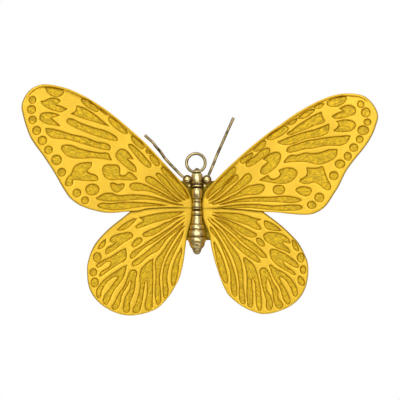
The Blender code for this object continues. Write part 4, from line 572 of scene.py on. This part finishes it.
def rod_parts(start, end, radius):
    """A straight, tarnished rod that joins two castings."""
    sides = ROD_SIDES
    a, b = placed(*start), placed(*end)
    along = (b - a).normalized()
    side = along.orthogonal().normalized()
    third = along.cross(side)
    verts = []
    for spot in (a, b):
        for k in range(sides):
            turn = 2 * math.pi * k / sides
            verts.append(spot + (side * math.cos(turn) + third * math.sin(turn)) * radius * MM)
    faces = [(k, (k + 1) % sides, sides + (k + 1) % sides, sides + k) for k in range(sides)]
    faces += [tuple(range(sides))[::-1], tuple(range(sides, 2 * sides))]
    return verts, faces, [0.8] * len(verts)


# ---- bent wire, made with geometry nodes

def wire_tree():
    """Sweeps a round wire along curves and lets its thickness vary a little, as drawn wire does."""
    tree = bpy.data.node_groups.new("bent_wire", "GeometryNodeTree")
    sockets = (("Path", "NodeSocketGeometry"), ("Radius", "NodeSocketFloat"), ("Sides", "NodeSocketInt"),
               ("Spacing", "NodeSocketFloat"), ("Unevenness", "NodeSocketFloat"),
               ("Metal", "NodeSocketMaterial"))
    for label, kind in sockets:
        tree.interface.new_socket(name=label, in_out="INPUT", socket_type=kind)
    tree.interface.new_socket(name="Wire", in_out="OUTPUT", socket_type="NodeSocketGeometry")
    nodes, links = tree.nodes, tree.links
    into, out = nodes.new("NodeGroupInput"), nodes.new("NodeGroupOutput")
    resample = nodes.new("GeometryNodeResampleCurve")
    resample.mode = "LENGTH"
    circle = nodes.new("GeometryNodeCurvePrimitiveCircle")
    sweep = nodes.new("GeometryNodeCurveToMesh")
    sweep.inputs["Fill Caps"].default_value = True
    noise = nodes.new("ShaderNodeTexNoise")
    noise.inputs["Scale"].default_value = 260.0
    noise.inputs["Detail"].default_value = 1.0
    centre = nodes.new("ShaderNodeMath")
    centre.operation = "SUBTRACT"
    centre.inputs[1].default_value = 0.5
    amount = nodes.new("ShaderNodeMath")
    amount.operation = "MULTIPLY"
    normal = nodes.new("GeometryNodeInputNormal")
    push = nodes.new("ShaderNodeVectorMath")
    push.operation = "SCALE"
    move = nodes.new("GeometryNodeSetPosition")
    smooth = nodes.new("GeometryNodeSetShadeSmooth")
    realize = nodes.new("GeometryNodeRealizeInstances")
    metal = nodes.new("GeometryNodeSetMaterial")
    links.new(into.outputs["Path"], resample.inputs["Curve"])
    links.new(into.outputs["Spacing"], resample.inputs["Length"])
    links.new(into.outputs["Radius"], circle.inputs["Radius"])
    links.new(into.outputs["Sides"], circle.inputs["Resolution"])
    links.new(resample.outputs["Curve"], sweep.inputs["Curve"])
    links.new(circle.outputs["Curve"], sweep.inputs["Profile Curve"])
    links.new(noise.outputs["Fac"], centre.inputs[0])
    links.new(centre.outputs[0], amount.inputs[0])
    links.new(into.outputs["Unevenness"], amount.inputs[1])
    links.new(normal.outputs["Normal"], push.inputs[0])
    links.new(amount.outputs[0], push.inputs["Scale"])
    links.new(sweep.outputs["Mesh"], move.inputs["Geometry"])
    links.new(push.outputs["Vector"], move.inputs["Offset"])
    links.new(move.outputs["Geometry"], smooth.inputs["Geometry"])
    links.new(smooth.outputs["Geometry"], realize.inputs["Geometry"])
    links.new(realize.outputs["Geometry"], metal.inputs["Geometry"])
    links.new(into.outputs["Metal"], metal.inputs["Material"])
    links.new(metal.outputs["Geometry"], out.inputs["Wire"])
    return tree


def bent_wire(name, splines, radius, metal):
    """A piece of wire from splines, each a (closed, points) pair in mm."""
    curve = bpy.data.curves.new(name + "_path", "CURVE")
    curve.dimensions = "3D"
    for closed, points in splines:
        spline = curve.splines.new("POLY")
        spline.points.add(len(points) - 1)
        for point, place in zip(spline.points, points):
            point.co = (*placed(*place), 1)
        spline.use_cyclic_u = closed
    path = bpy.data.objects.new(name + "_path", curve)
    bpy.context.scene.collection.objects.link(path)
    tree = bpy.data.node_groups.get("bent_wire") or wire_tree()
    modifier = path.modifiers.new("wire", "NODES")
    modifier.node_group = tree
    values = {"Radius": radius * MM, "Sides": WIRE_SIDES, "Spacing": WIRE_SPACING * MM,
              "Unevenness": WIRE_UNEVENNESS * MM, "Metal": metal}
    for item in tree.interface.items_tree:
        if item.item_type == "SOCKET" and item.in_out == "INPUT" and item.name in values:
            modifier[item.identifier] = values[item.name]
    bpy.context.view_layer.update()
    graph = bpy.context.evaluated_depsgraph_get()
    mesh = bpy.data.meshes.new_from_object(path.evaluated_get(graph))
    path.modifiers.clear()
    bpy.data.objects.remove(path)
    mesh.name = name
    if not mesh.materials:
        mesh.materials.append(metal)
    piece = bpy.data.objects.new(name, mesh)
    bpy.context.scene.collection.objects.link(piece)
    return piece


def antenna_path(line):
    """A smooth line of places that leans forward from the head to the tip."""
    fine = smooth_curve(line, False, 0.6, math.radians(80))
    total = len(fine) - 1
    foot, tip = ANTENNA_Y
    return [(p[0], foot + (tip - foot) * i / total, p[1]) for i, p in enumerate(fine)]


# ---- finishes

class Finish:
    """A small helper for building a material's nodes."""

    def __init__(self, name):
        self.material = bpy.data.materials.new(name)
        self.material.use_nodes = True
        self.nodes = self.material.node_tree.nodes
        self.links = self.material.node_tree.links
        self.shader = self.nodes["Principled BSDF"]
        self.coords = self.nodes.new("ShaderNodeTexCoord").outputs["Object"]

    def put(self, socket, value):
        if isinstance(value, bpy.types.NodeSocket):
            self.links.new(value, socket)
        else:
            socket.default_value = value

    def noise(self, scale, detail=2.0, rough=0.5, vector=None, twist=0.0):
        node = self.nodes.new("ShaderNodeTexNoise")
        node.inputs["Distortion"].default_value = twist
        node.inputs["Scale"].default_value = scale
        node.inputs["Detail"].default_value = detail
        node.inputs["Roughness"].default_value = rough
        self.links.new(vector or self.coords, node.inputs["Vector"])
        return node.outputs["Fac"]

    def value(self, name):
        node = self.nodes.new("ShaderNodeAttribute")
        node.attribute_name = name
        return node.outputs["Fac"]

    def math(self, operation, a, b=0.0, clamp=False):
        node = self.nodes.new("ShaderNodeMath")
        node.operation = operation
        node.use_clamp = clamp
        self.put(node.inputs[0], a)
        self.put(node.inputs[1], b)
        return node.outputs[0]

    def band(self, value, low, high, to_low=0.0, to_high=1.0):
        node = self.nodes.new("ShaderNodeMapRange")
        for socket, item in zip(node.inputs, (value, low, high, to_low, to_high)):
            self.put(socket, item)
        return node.outputs[0]

    def mix(self, factor, first, second):
        node = self.nodes.new("ShaderNodeMix")
        node.data_type = "RGBA"
        self.put(node.inputs[0], factor)
        self.put(node.inputs[6], first)
        self.put(node.inputs[7], second)
        return node.outputs[2]

    def bump(self, height, strength, distance):
        node = self.nodes.new("ShaderNodeBump")
        node.inputs["Strength"].default_value = strength
        node.inputs["Distance"].default_value = distance
        self.links.new(height, node.inputs["Height"])
        self.links.new(node.outputs["Normal"], self.shader.inputs["Normal"])

    def fan(self, across, up, stretch, turn):
        """Coordinates that run out from a point: far apart along the rays, close across them."""
        split = self.nodes.new("ShaderNodeSeparateXYZ")
        self.links.new(self.coords, split.inputs[0])
        x = self.math("SUBTRACT", split.outputs["X"], across)
        z = self.math("SUBTRACT", split.outputs["Z"], up)
        radius = self.math("SQRT", self.math("ADD", self.math("MULTIPLY", x, x), self.math("MULTIPLY", z, z)))
        angle = self.math("ARCTAN2", z, self.math("ABSOLUTE", x))
        join = self.nodes.new("ShaderNodeCombineXYZ")
        self.links.new(self.math("MULTIPLY", radius, stretch), join.inputs[0])
        self.links.new(self.math("MULTIPLY", angle, turn), join.inputs[1])
        return join.outputs[0]


def linear(colour):
    """A colour given from 0 to 255, as the renderer wants it."""
    def one(c):
        c /= 255
        return c / 12.92 if c <= 0.04045 else ((c + 0.055) / 1.055) ** 2.4
    return (*[one(c) for c in colour], 1)


def scaled(colour, by):
    return (*[min(c * by, 1) for c in colour[:3]], 1)


def lacquer(name, face, floor, dark):
    """Satin yellow lacquer, tooled on the cells' floors, with a painted highlight on their lips, painted
    shade along their walls and a painted shadow in the fold.
    """
    f = Finish(name)
    # dark is the colour of the painted shade, and scaled down that of the painted shadow in the fold
    sunk, wall_shade, lip_highlight, fold_shadow = (f.value(key) for key in ("sunk", "wall_shade", "lip_highlight", "fold_shadow"))
    swirl = f.noise(850.0, 3.0, 0.65, None, 1.8)
    rays = f.fan(-ORIGIN[0] * MM, -ORIGIN[2] * MM, 420.0, 90.0)
    streak = f.noise(1.0, 3.0, 0.6, rays, 0.6)
    cloud = f.noise(45.0, 3.0, 0.5)
    grain = f.noise(2600.0, 2.0, 0.6)
    tooled = f.math("ADD", f.math("MULTIPLY", swirl, 0.4), f.math("MULTIPLY", streak, 0.6))
    face_colour = f.mix(f.band(cloud, 0.35, 0.65), face, scaled(face, 0.93))
    floor_colour = f.mix(f.band(tooled, 0.43, 0.49), scaled(floor, 0.68), floor)
    floor_colour = f.mix(f.band(tooled, 0.52, 0.57), floor_colour, scaled(floor, 1.36))
    colour = f.mix(sunk, face_colour, floor_colour)
    # painted highlight on the lips and the bead
    colour = f.mix(f.math("MULTIPLY", lip_highlight, 0.6), colour, scaled(face, 1.12))
    patchy = f.band(f.noise(380.0, 2.0, 0.6), 0.3, 0.6, 0.6, 0.95)
    # painted shade along the walls, in the dark colour
    colour = f.mix(f.math("MULTIPLY", wall_shade, patchy, True), colour, dark)
    # painted shadow in the fold, in a darker copy of the shade colour
    colour = f.mix(fold_shadow, colour, scaled(dark, 0.3))
    f.links.new(colour, f.shader.inputs["Base Color"])
    # more metallic where shade and shadow are painted, so that they keep their dark colour
    painted_dark = f.math("ADD", fold_shadow, f.math("MULTIPLY", wall_shade, 0.8), True)
    f.links.new(f.band(painted_dark, 0.0, 1.0, 0.25, 1.0), f.shader.inputs["Metallic"])
    f.shader.inputs["Specular IOR Level"].default_value = 0.3
    rough = f.math("ADD", f.band(cloud, 0.3, 0.7, 0.36, 0.46), f.math("MULTIPLY", sunk, 0.12))
    f.links.new(rough, f.shader.inputs["Roughness"])
    f.bump(f.math("ADD", f.math("MULTIPLY", f.math("MULTIPLY", tooled, sunk), 2.2),
                  f.math("MULTIPLY", grain, 0.12)), 0.6, 0.0002)
    return f.material


def brass(name, bright, dark, tarnish_from, roughness, mottle=0.55, uneven=0.3):
    """Aged brass: its tarnish follows a piece's own values where it has them, else a cloud."""
    f = Finish(name)
    cloud = f.noise(210.0, 4.0, 0.6)
    fine = f.noise(1500.0, 3.0, 0.6)
    spread = f.band(cloud, 0.4, 0.66, 0.0, mottle)
    if tarnish_from:
        worn = f.band(f.value(tarnish_from), 0.12, 0.75, 0.0, 1.0)
        amount = f.math("ADD", worn, f.math("MULTIPLY", spread, 0.6), True)
    else:
        amount = f.math("ADD", spread, f.band(fine, 0.5, 0.8, 0.0, 0.4), True)
    middle = tuple((a + b) / 2 for a, b in zip(bright[:3], dark[:3])) + (1,)
    colour = f.mix(f.band(amount, 0.0, 0.5), bright, middle)
    colour = f.mix(f.band(amount, 0.45, 1.0), colour, dark)
    f.links.new(colour, f.shader.inputs["Base Color"])
    f.shader.inputs["Metallic"].default_value = 1.0
    f.links.new(f.band(amount, 0.0, 1.0, roughness, roughness + 0.3), f.shader.inputs["Roughness"])
    f.bump(f.math("ADD", f.math("MULTIPLY", cloud, 0.6), f.math("MULTIPLY", fine, 0.25)), uneven, 0.0002)
    return f.material


# ---- user values

class WingSettings(bpy.types.PropertyGroup):
    face: bpy.props.FloatVectorProperty(name="Face colour", description="Raised faces of the wings, 0 to 255",
                                        size=3, min=0, max=255, default=(235, 190, 44))
    floor: bpy.props.FloatVectorProperty(name="Floor colour",
                                         description="Sunk floors of the cells, 0 to 255",
                                         size=3, min=0, max=255, default=(214, 174, 20))
    # colour of the painted shade along the cell walls; a darker copy of it is the painted shadow in the fold
    wall_shade: bpy.props.FloatVectorProperty(name="Lining colour",
                                          description="Dark colour left along the cell walls, 0 to 255",
                                          size=3, min=0, max=255, default=(152, 112, 5))
    detail: bpy.props.FloatProperty(name="Edge detail",
                                    description="Spacing of points along the cells' edges, in mm",
                                    min=0.3, max=2.0, default=0.5)
    grid: bpy.props.FloatProperty(name="Face detail",
                                  description="Spacing of points on the open faces, in mm",
                                  min=0.5, max=4.0, default=1.0)


class BrassSettings(bpy.types.PropertyGroup):
    bright: bpy.props.FloatVectorProperty(name="Bright brass", description="Rubbed brass, 0 to 255",
                                          size=3, min=0, max=255, default=(226, 203, 142))
    dark: bpy.props.FloatVectorProperty(name="Dark brass", description="Tarnish in the grooves, 0 to 255",
                                        size=3, min=0, max=255, default=(58, 38, 12))
    antenna_radius: bpy.props.FloatProperty(name="Antenna wire radius",
                                            description="Half the antenna wire's width",
                                            subtype="DISTANCE", unit="LENGTH", default=0.72 * MM)
    ring_radius: bpy.props.FloatProperty(name="Ring radius",
                                         description="Of the hanging ring, to the wire's centre",
                                         subtype="DISTANCE", unit="LENGTH", default=4.68 * MM)
    ring_wire: bpy.props.FloatProperty(name="Ring wire radius", description="Half the ring wire's width",
                                       subtype="DISTANCE", unit="LENGTH", default=0.76 * MM)


class StageSettings(bpy.types.PropertyGroup):
    distance: bpy.props.FloatProperty(name="Camera distance",
                                      description="From the wings' roots to the camera",
                                      subtype="DISTANCE", unit="LENGTH", default=1.2)
    field: bpy.props.FloatProperty(name="Field width", description="Width that the picture takes in",
                                   subtype="DISTANCE", unit="LENGTH", default=0.2)
    key: bpy.props.FloatProperty(name="Key light", description="Power of the large light above", unit="POWER",
                                 default=2.25)
    fill: bpy.props.FloatProperty(name="Room light", description="Strength of the light from all round",
                                  default=0.76)


def settle(piece, node):
    """Puts a finished piece in the place of its plain solid."""
    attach(piece, "root")
    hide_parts(node)


class BUTTERFLY_OT_wings(bpy.types.Operator):
    """Make both cast wings with their sunk cells, lips and raised leading edge"""
    bl_idname = "butterfly.wings"
    bl_label = "Cast Wings"

    def execute(self, context):
        s = context.scene.butterfly_wings
        for node, side in (("wing_left", -1), ("wing_right", 1)):
            slot = node + "_lacquer"
            wing = cast_wing(node, side, s.detail, s.grid)
            wing.data.materials.append(lacquer(slot, linear(s.face), linear(s.floor), linear(s.wall_shade)))
            settle(wing, node)
        return {"FINISHED"}


class BUTTERFLY_OT_body(bpy.types.Operator):
    """Make the turned body with its beads, bezelled eyes and ringed abdomen"""
    bl_idname = "butterfly.body"
    bl_label = "Brass Body"

    def execute(self, context):
        s = context.scene.butterfly_brass
        fine = smooth_curve(BODY_PROFILE, False, 0.14, math.radians(100))
        fine = [(max(r, 0.0), z) for r, z in fine]
        fine[0], fine[-1] = (0.0, fine[0][1]), (0.0, fine[-1][1])
        verts, faces = lathe(fine, "Z", (0.0, BODY_Y), BODY_SIDES, wobble=0.008)
        deep = groove_values(fine)
        dark = [deep[0]] + [d for d in deep[1:-1] for _ in range(BODY_SIDES)] + [deep[-1]]
        parts = [(verts, faces, dark)]
        for across, up, radius in EYES:
            parts.append(eye_parts(across, up, radius))
            neck, socket = (across * 0.35, BODY_Y, up - 0.2), (across * 0.85, BODY_Y - 0.1, up)
            parts.append(rod_parts(neck, socket, 1.35))
        for across, up, radius in LOBES:
            parts.append(ball_parts(across, BODY_Y - 0.9, up, radius))
            parts.append(rod_parts((across * 0.3, BODY_Y - 0.3, up), (across * 0.9, BODY_Y - 0.9, up), 0.6))
        for up, radius in PEGS:
            parts.append(rod_parts((0.0, BODY_Y, up), (0.0, PEG_BACK, up), radius))
        body = joined("body_turned", parts, 60)
        body.data.materials.append(brass("body_brass", linear(s.bright), linear(s.dark), "tarnish", 0.26))
        settle(body, "body")
        return {"FINISHED"}


class BUTTERFLY_OT_wires(bpy.types.Operator):
    """Make both antennae and the hanging ring from bent wire"""
    bl_idname = "butterfly.wires"
    bl_label = "Wires"

    def execute(self, context):
        s = context.scene.butterfly_brass
        tone = tuple(c * 0.85 for c in s.bright)
        for node, line, slot in (("antenna_left", ANTENNA_LEFT, "antenna_left_brass"),
                                 ("antenna_right", ANTENNA_RIGHT, "antenna_right_brass")):
            metal = brass(node + "_brass", linear(tone), linear(s.dark), None, 0.2, 0.95, 0.12)
            wire = bent_wire(node + "_wire", [(False, antenna_path(line))], s.antenna_radius / MM, metal)
            settle(wire, node)
        tone = tuple(c * 0.78 for c in s.bright)
        metal = brass("ring_brass", linear(tone), linear(s.dark), None, 0.25, 0.4, 0.12)
        x, z = RING_CENTRE
        radius = s.ring_radius / MM
        turns = [2 * math.pi * i / 64 for i in range(64)]
        loop = [(x + radius * math.cos(t), RING_DEPTH, z + radius * math.sin(t)) for t in turns]
        steps = int((z - radius - SHANK_END) / SHANK_STEP)
        shank = [(x, RING_DEPTH, z - radius - 0.1 - SHANK_STEP * i) for i in range(steps)]
        wire = bent_wire("hanging_ring_wire", [(True, loop), (False, shank)], s.ring_wire / MM, metal)
        settle(wire, "hanging_ring")
        return {"FINISHED"}


class BUTTERFLY_OT_plate(bpy.types.Operator):
    """Finish the bent strip behind the body"""
    bl_idname = "butterfly.plate"
    bl_label = "Back Strip"

    def execute(self, context):
        s = context.scene.butterfly_brass
        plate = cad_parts["back_plate"]
        tone = (s.bright[0] * 0.78, s.bright[1] * 0.74, s.bright[2] * 0.3)
        metal = brass("strip_brass", linear(tone), linear(s.dark), None, 0.4)
        plate.data.materials.clear()
        plate.data.materials.append(metal)
        return {"FINISHED"}


class BUTTERFLY_OT_stage(bpy.types.Operator):
    """Set the white surround, the lights and the camera"""
    bl_idname = "butterfly.stage"
    bl_label = "Stage"

    def execute(self, context):
        s = context.scene.butterfly_stage
        context.scene.view_settings.view_transform = "Standard"
        world = bpy.data.worlds.new("white_room")
        world.use_nodes = True
        context.scene.world = world
        nodes, links = world.node_tree.nodes, world.node_tree.links
        plain = nodes["Background"]
        plain.inputs["Color"].default_value = (1, 1, 1, 1)
        plain.inputs["Strength"].default_value = 1.0
        room = nodes.new("ShaderNodeBackground")
        coords = nodes.new("ShaderNodeTexCoord")
        split = nodes.new("ShaderNodeSeparateXYZ")
        links.new(coords.outputs["Generated"], split.inputs[0])
        tones = nodes.new("ShaderNodeValToRGB")
        low, high = tones.color_ramp.elements
        low.position, low.color = 0.25, (0.19, 0.17, 0.12, 1)
        high.position, high.color = 0.85, (1, 1, 1, 1)
        shift = nodes.new("ShaderNodeMapRange")
        for socket, item in zip(list(shift.inputs)[1:5], (-1.0, 1.0, 0.0, 1.0)):
            socket.default_value = item
        links.new(split.outputs["Z"], shift.inputs[0])
        links.new(shift.outputs[0], tones.inputs[0])
        links.new(tones.outputs[0], room.inputs["Color"])
        room.inputs["Strength"].default_value = s.fill
        path, mix = nodes.new("ShaderNodeLightPath"), nodes.new("ShaderNodeMixShader")
        links.new(path.outputs["Is Camera Ray"], mix.inputs[0])
        links.new(room.outputs[0], mix.inputs[1])
        links.new(plain.outputs[0], mix.inputs[2])
        links.new(mix.outputs[0], nodes["World Output"].inputs["Surface"])

        centre = placed(1.5, 0.0, 4.5)
        for name, place, wide, tall, power in (("key_light", (-0.14, -0.74, 0.55), 0.5, 0.5, s.key),
                                               ("side_light", (0.5, -0.7, -0.35), 0.35, 0.35, s.key * 0.22),
                                               ("front_light", (-0.02, -0.98, 0.06), 1.1, 0.24, s.key * 1.7)):
            light = bpy.data.lights.new(name, "AREA")
            light.energy = power
            light.shape = "RECTANGLE"
            light.size, light.size_y = wide, tall
            lamp = bpy.data.objects.new(name, light)
            lamp.location = centre + Vector(place)
            lamp.rotation_euler = (-Vector(place)).to_track_quat("-Z", "Y").to_euler()
            context.scene.collection.objects.link(lamp)

        half, deep, low = FLOOR
        corners = [(-half, -deep, low), (half, -deep, low), (half, deep, low), (-half, deep, low)]
        floor = solid_from("floor", corners, [(0, 1, 2, 3)], 30)
        pale = Finish("pale_floor")
        grain = pale.noise(30.0, 2.0)
        tone = pale.mix(grain, (0.86, 0.86, 0.85, 1), (0.82, 0.82, 0.81, 1))
        pale.links.new(tone, pale.shader.inputs["Base Color"])
        pale.shader.inputs["Roughness"].default_value = 0.8
        floor.data.materials.append(pale.material)

        camera = bpy.data.cameras.new("camera")
        camera.sensor_width = 36.0
        camera.lens = camera.sensor_width * s.distance / s.field
        camera.clip_start, camera.clip_end = 0.05, 20.0
        viewer = bpy.data.objects.new("camera", camera)
        viewer.location = centre - Vector((0, s.distance, 0))
        viewer.rotation_euler = (math.pi / 2, 0, 0)
        context.scene.collection.objects.link(viewer)
        context.scene.camera = viewer
        return {"FINISHED"}


class BUTTERFLY_PT_panel(bpy.types.Panel):
    bl_label = "Butterfly Ornament"
    bl_idname = "BUTTERFLY_PT_panel"
    bl_space_type = "VIEW_3D"
    bl_region_type = "UI"
    bl_category = "Butterfly"

    def draw(self, context):
        for group in ("butterfly_wings", "butterfly_brass", "butterfly_stage"):
            box = self.layout.box()
            settings = getattr(context.scene, group)
            for name in settings.__annotations__:
                box.prop(settings, name)
        for name in ("wings", "body", "wires", "plate", "stage"):
            self.layout.operator("butterfly." + name)


CLASSES = (WingSettings, BrassSettings, StageSettings, BUTTERFLY_OT_wings, BUTTERFLY_OT_body,
           BUTTERFLY_OT_wires, BUTTERFLY_OT_plate, BUTTERFLY_OT_stage, BUTTERFLY_PT_panel)


def register():
    for item in CLASSES:
        bpy.utils.register_class(item)
    bpy.types.Scene.butterfly_wings = bpy.props.PointerProperty(type=WingSettings)
    bpy.types.Scene.butterfly_brass = bpy.props.PointerProperty(type=BrassSettings)
    bpy.types.Scene.butterfly_stage = bpy.props.PointerProperty(type=StageSettings)


def unregister():
    del bpy.types.Scene.butterfly_stage, bpy.types.Scene.butterfly_brass, bpy.types.Scene.butterfly_wings
    for item in reversed(CLASSES):
        bpy.utils.unregister_class(item)


def main():
    register()
    bpy.ops.butterfly.stage()
    bpy.ops.butterfly.wings()
    bpy.ops.butterfly.body()
    bpy.ops.butterfly.wires()
    bpy.ops.butterfly.plate()
    bpy.context.view_layer.update()


if __name__ == "__main__":
    main()
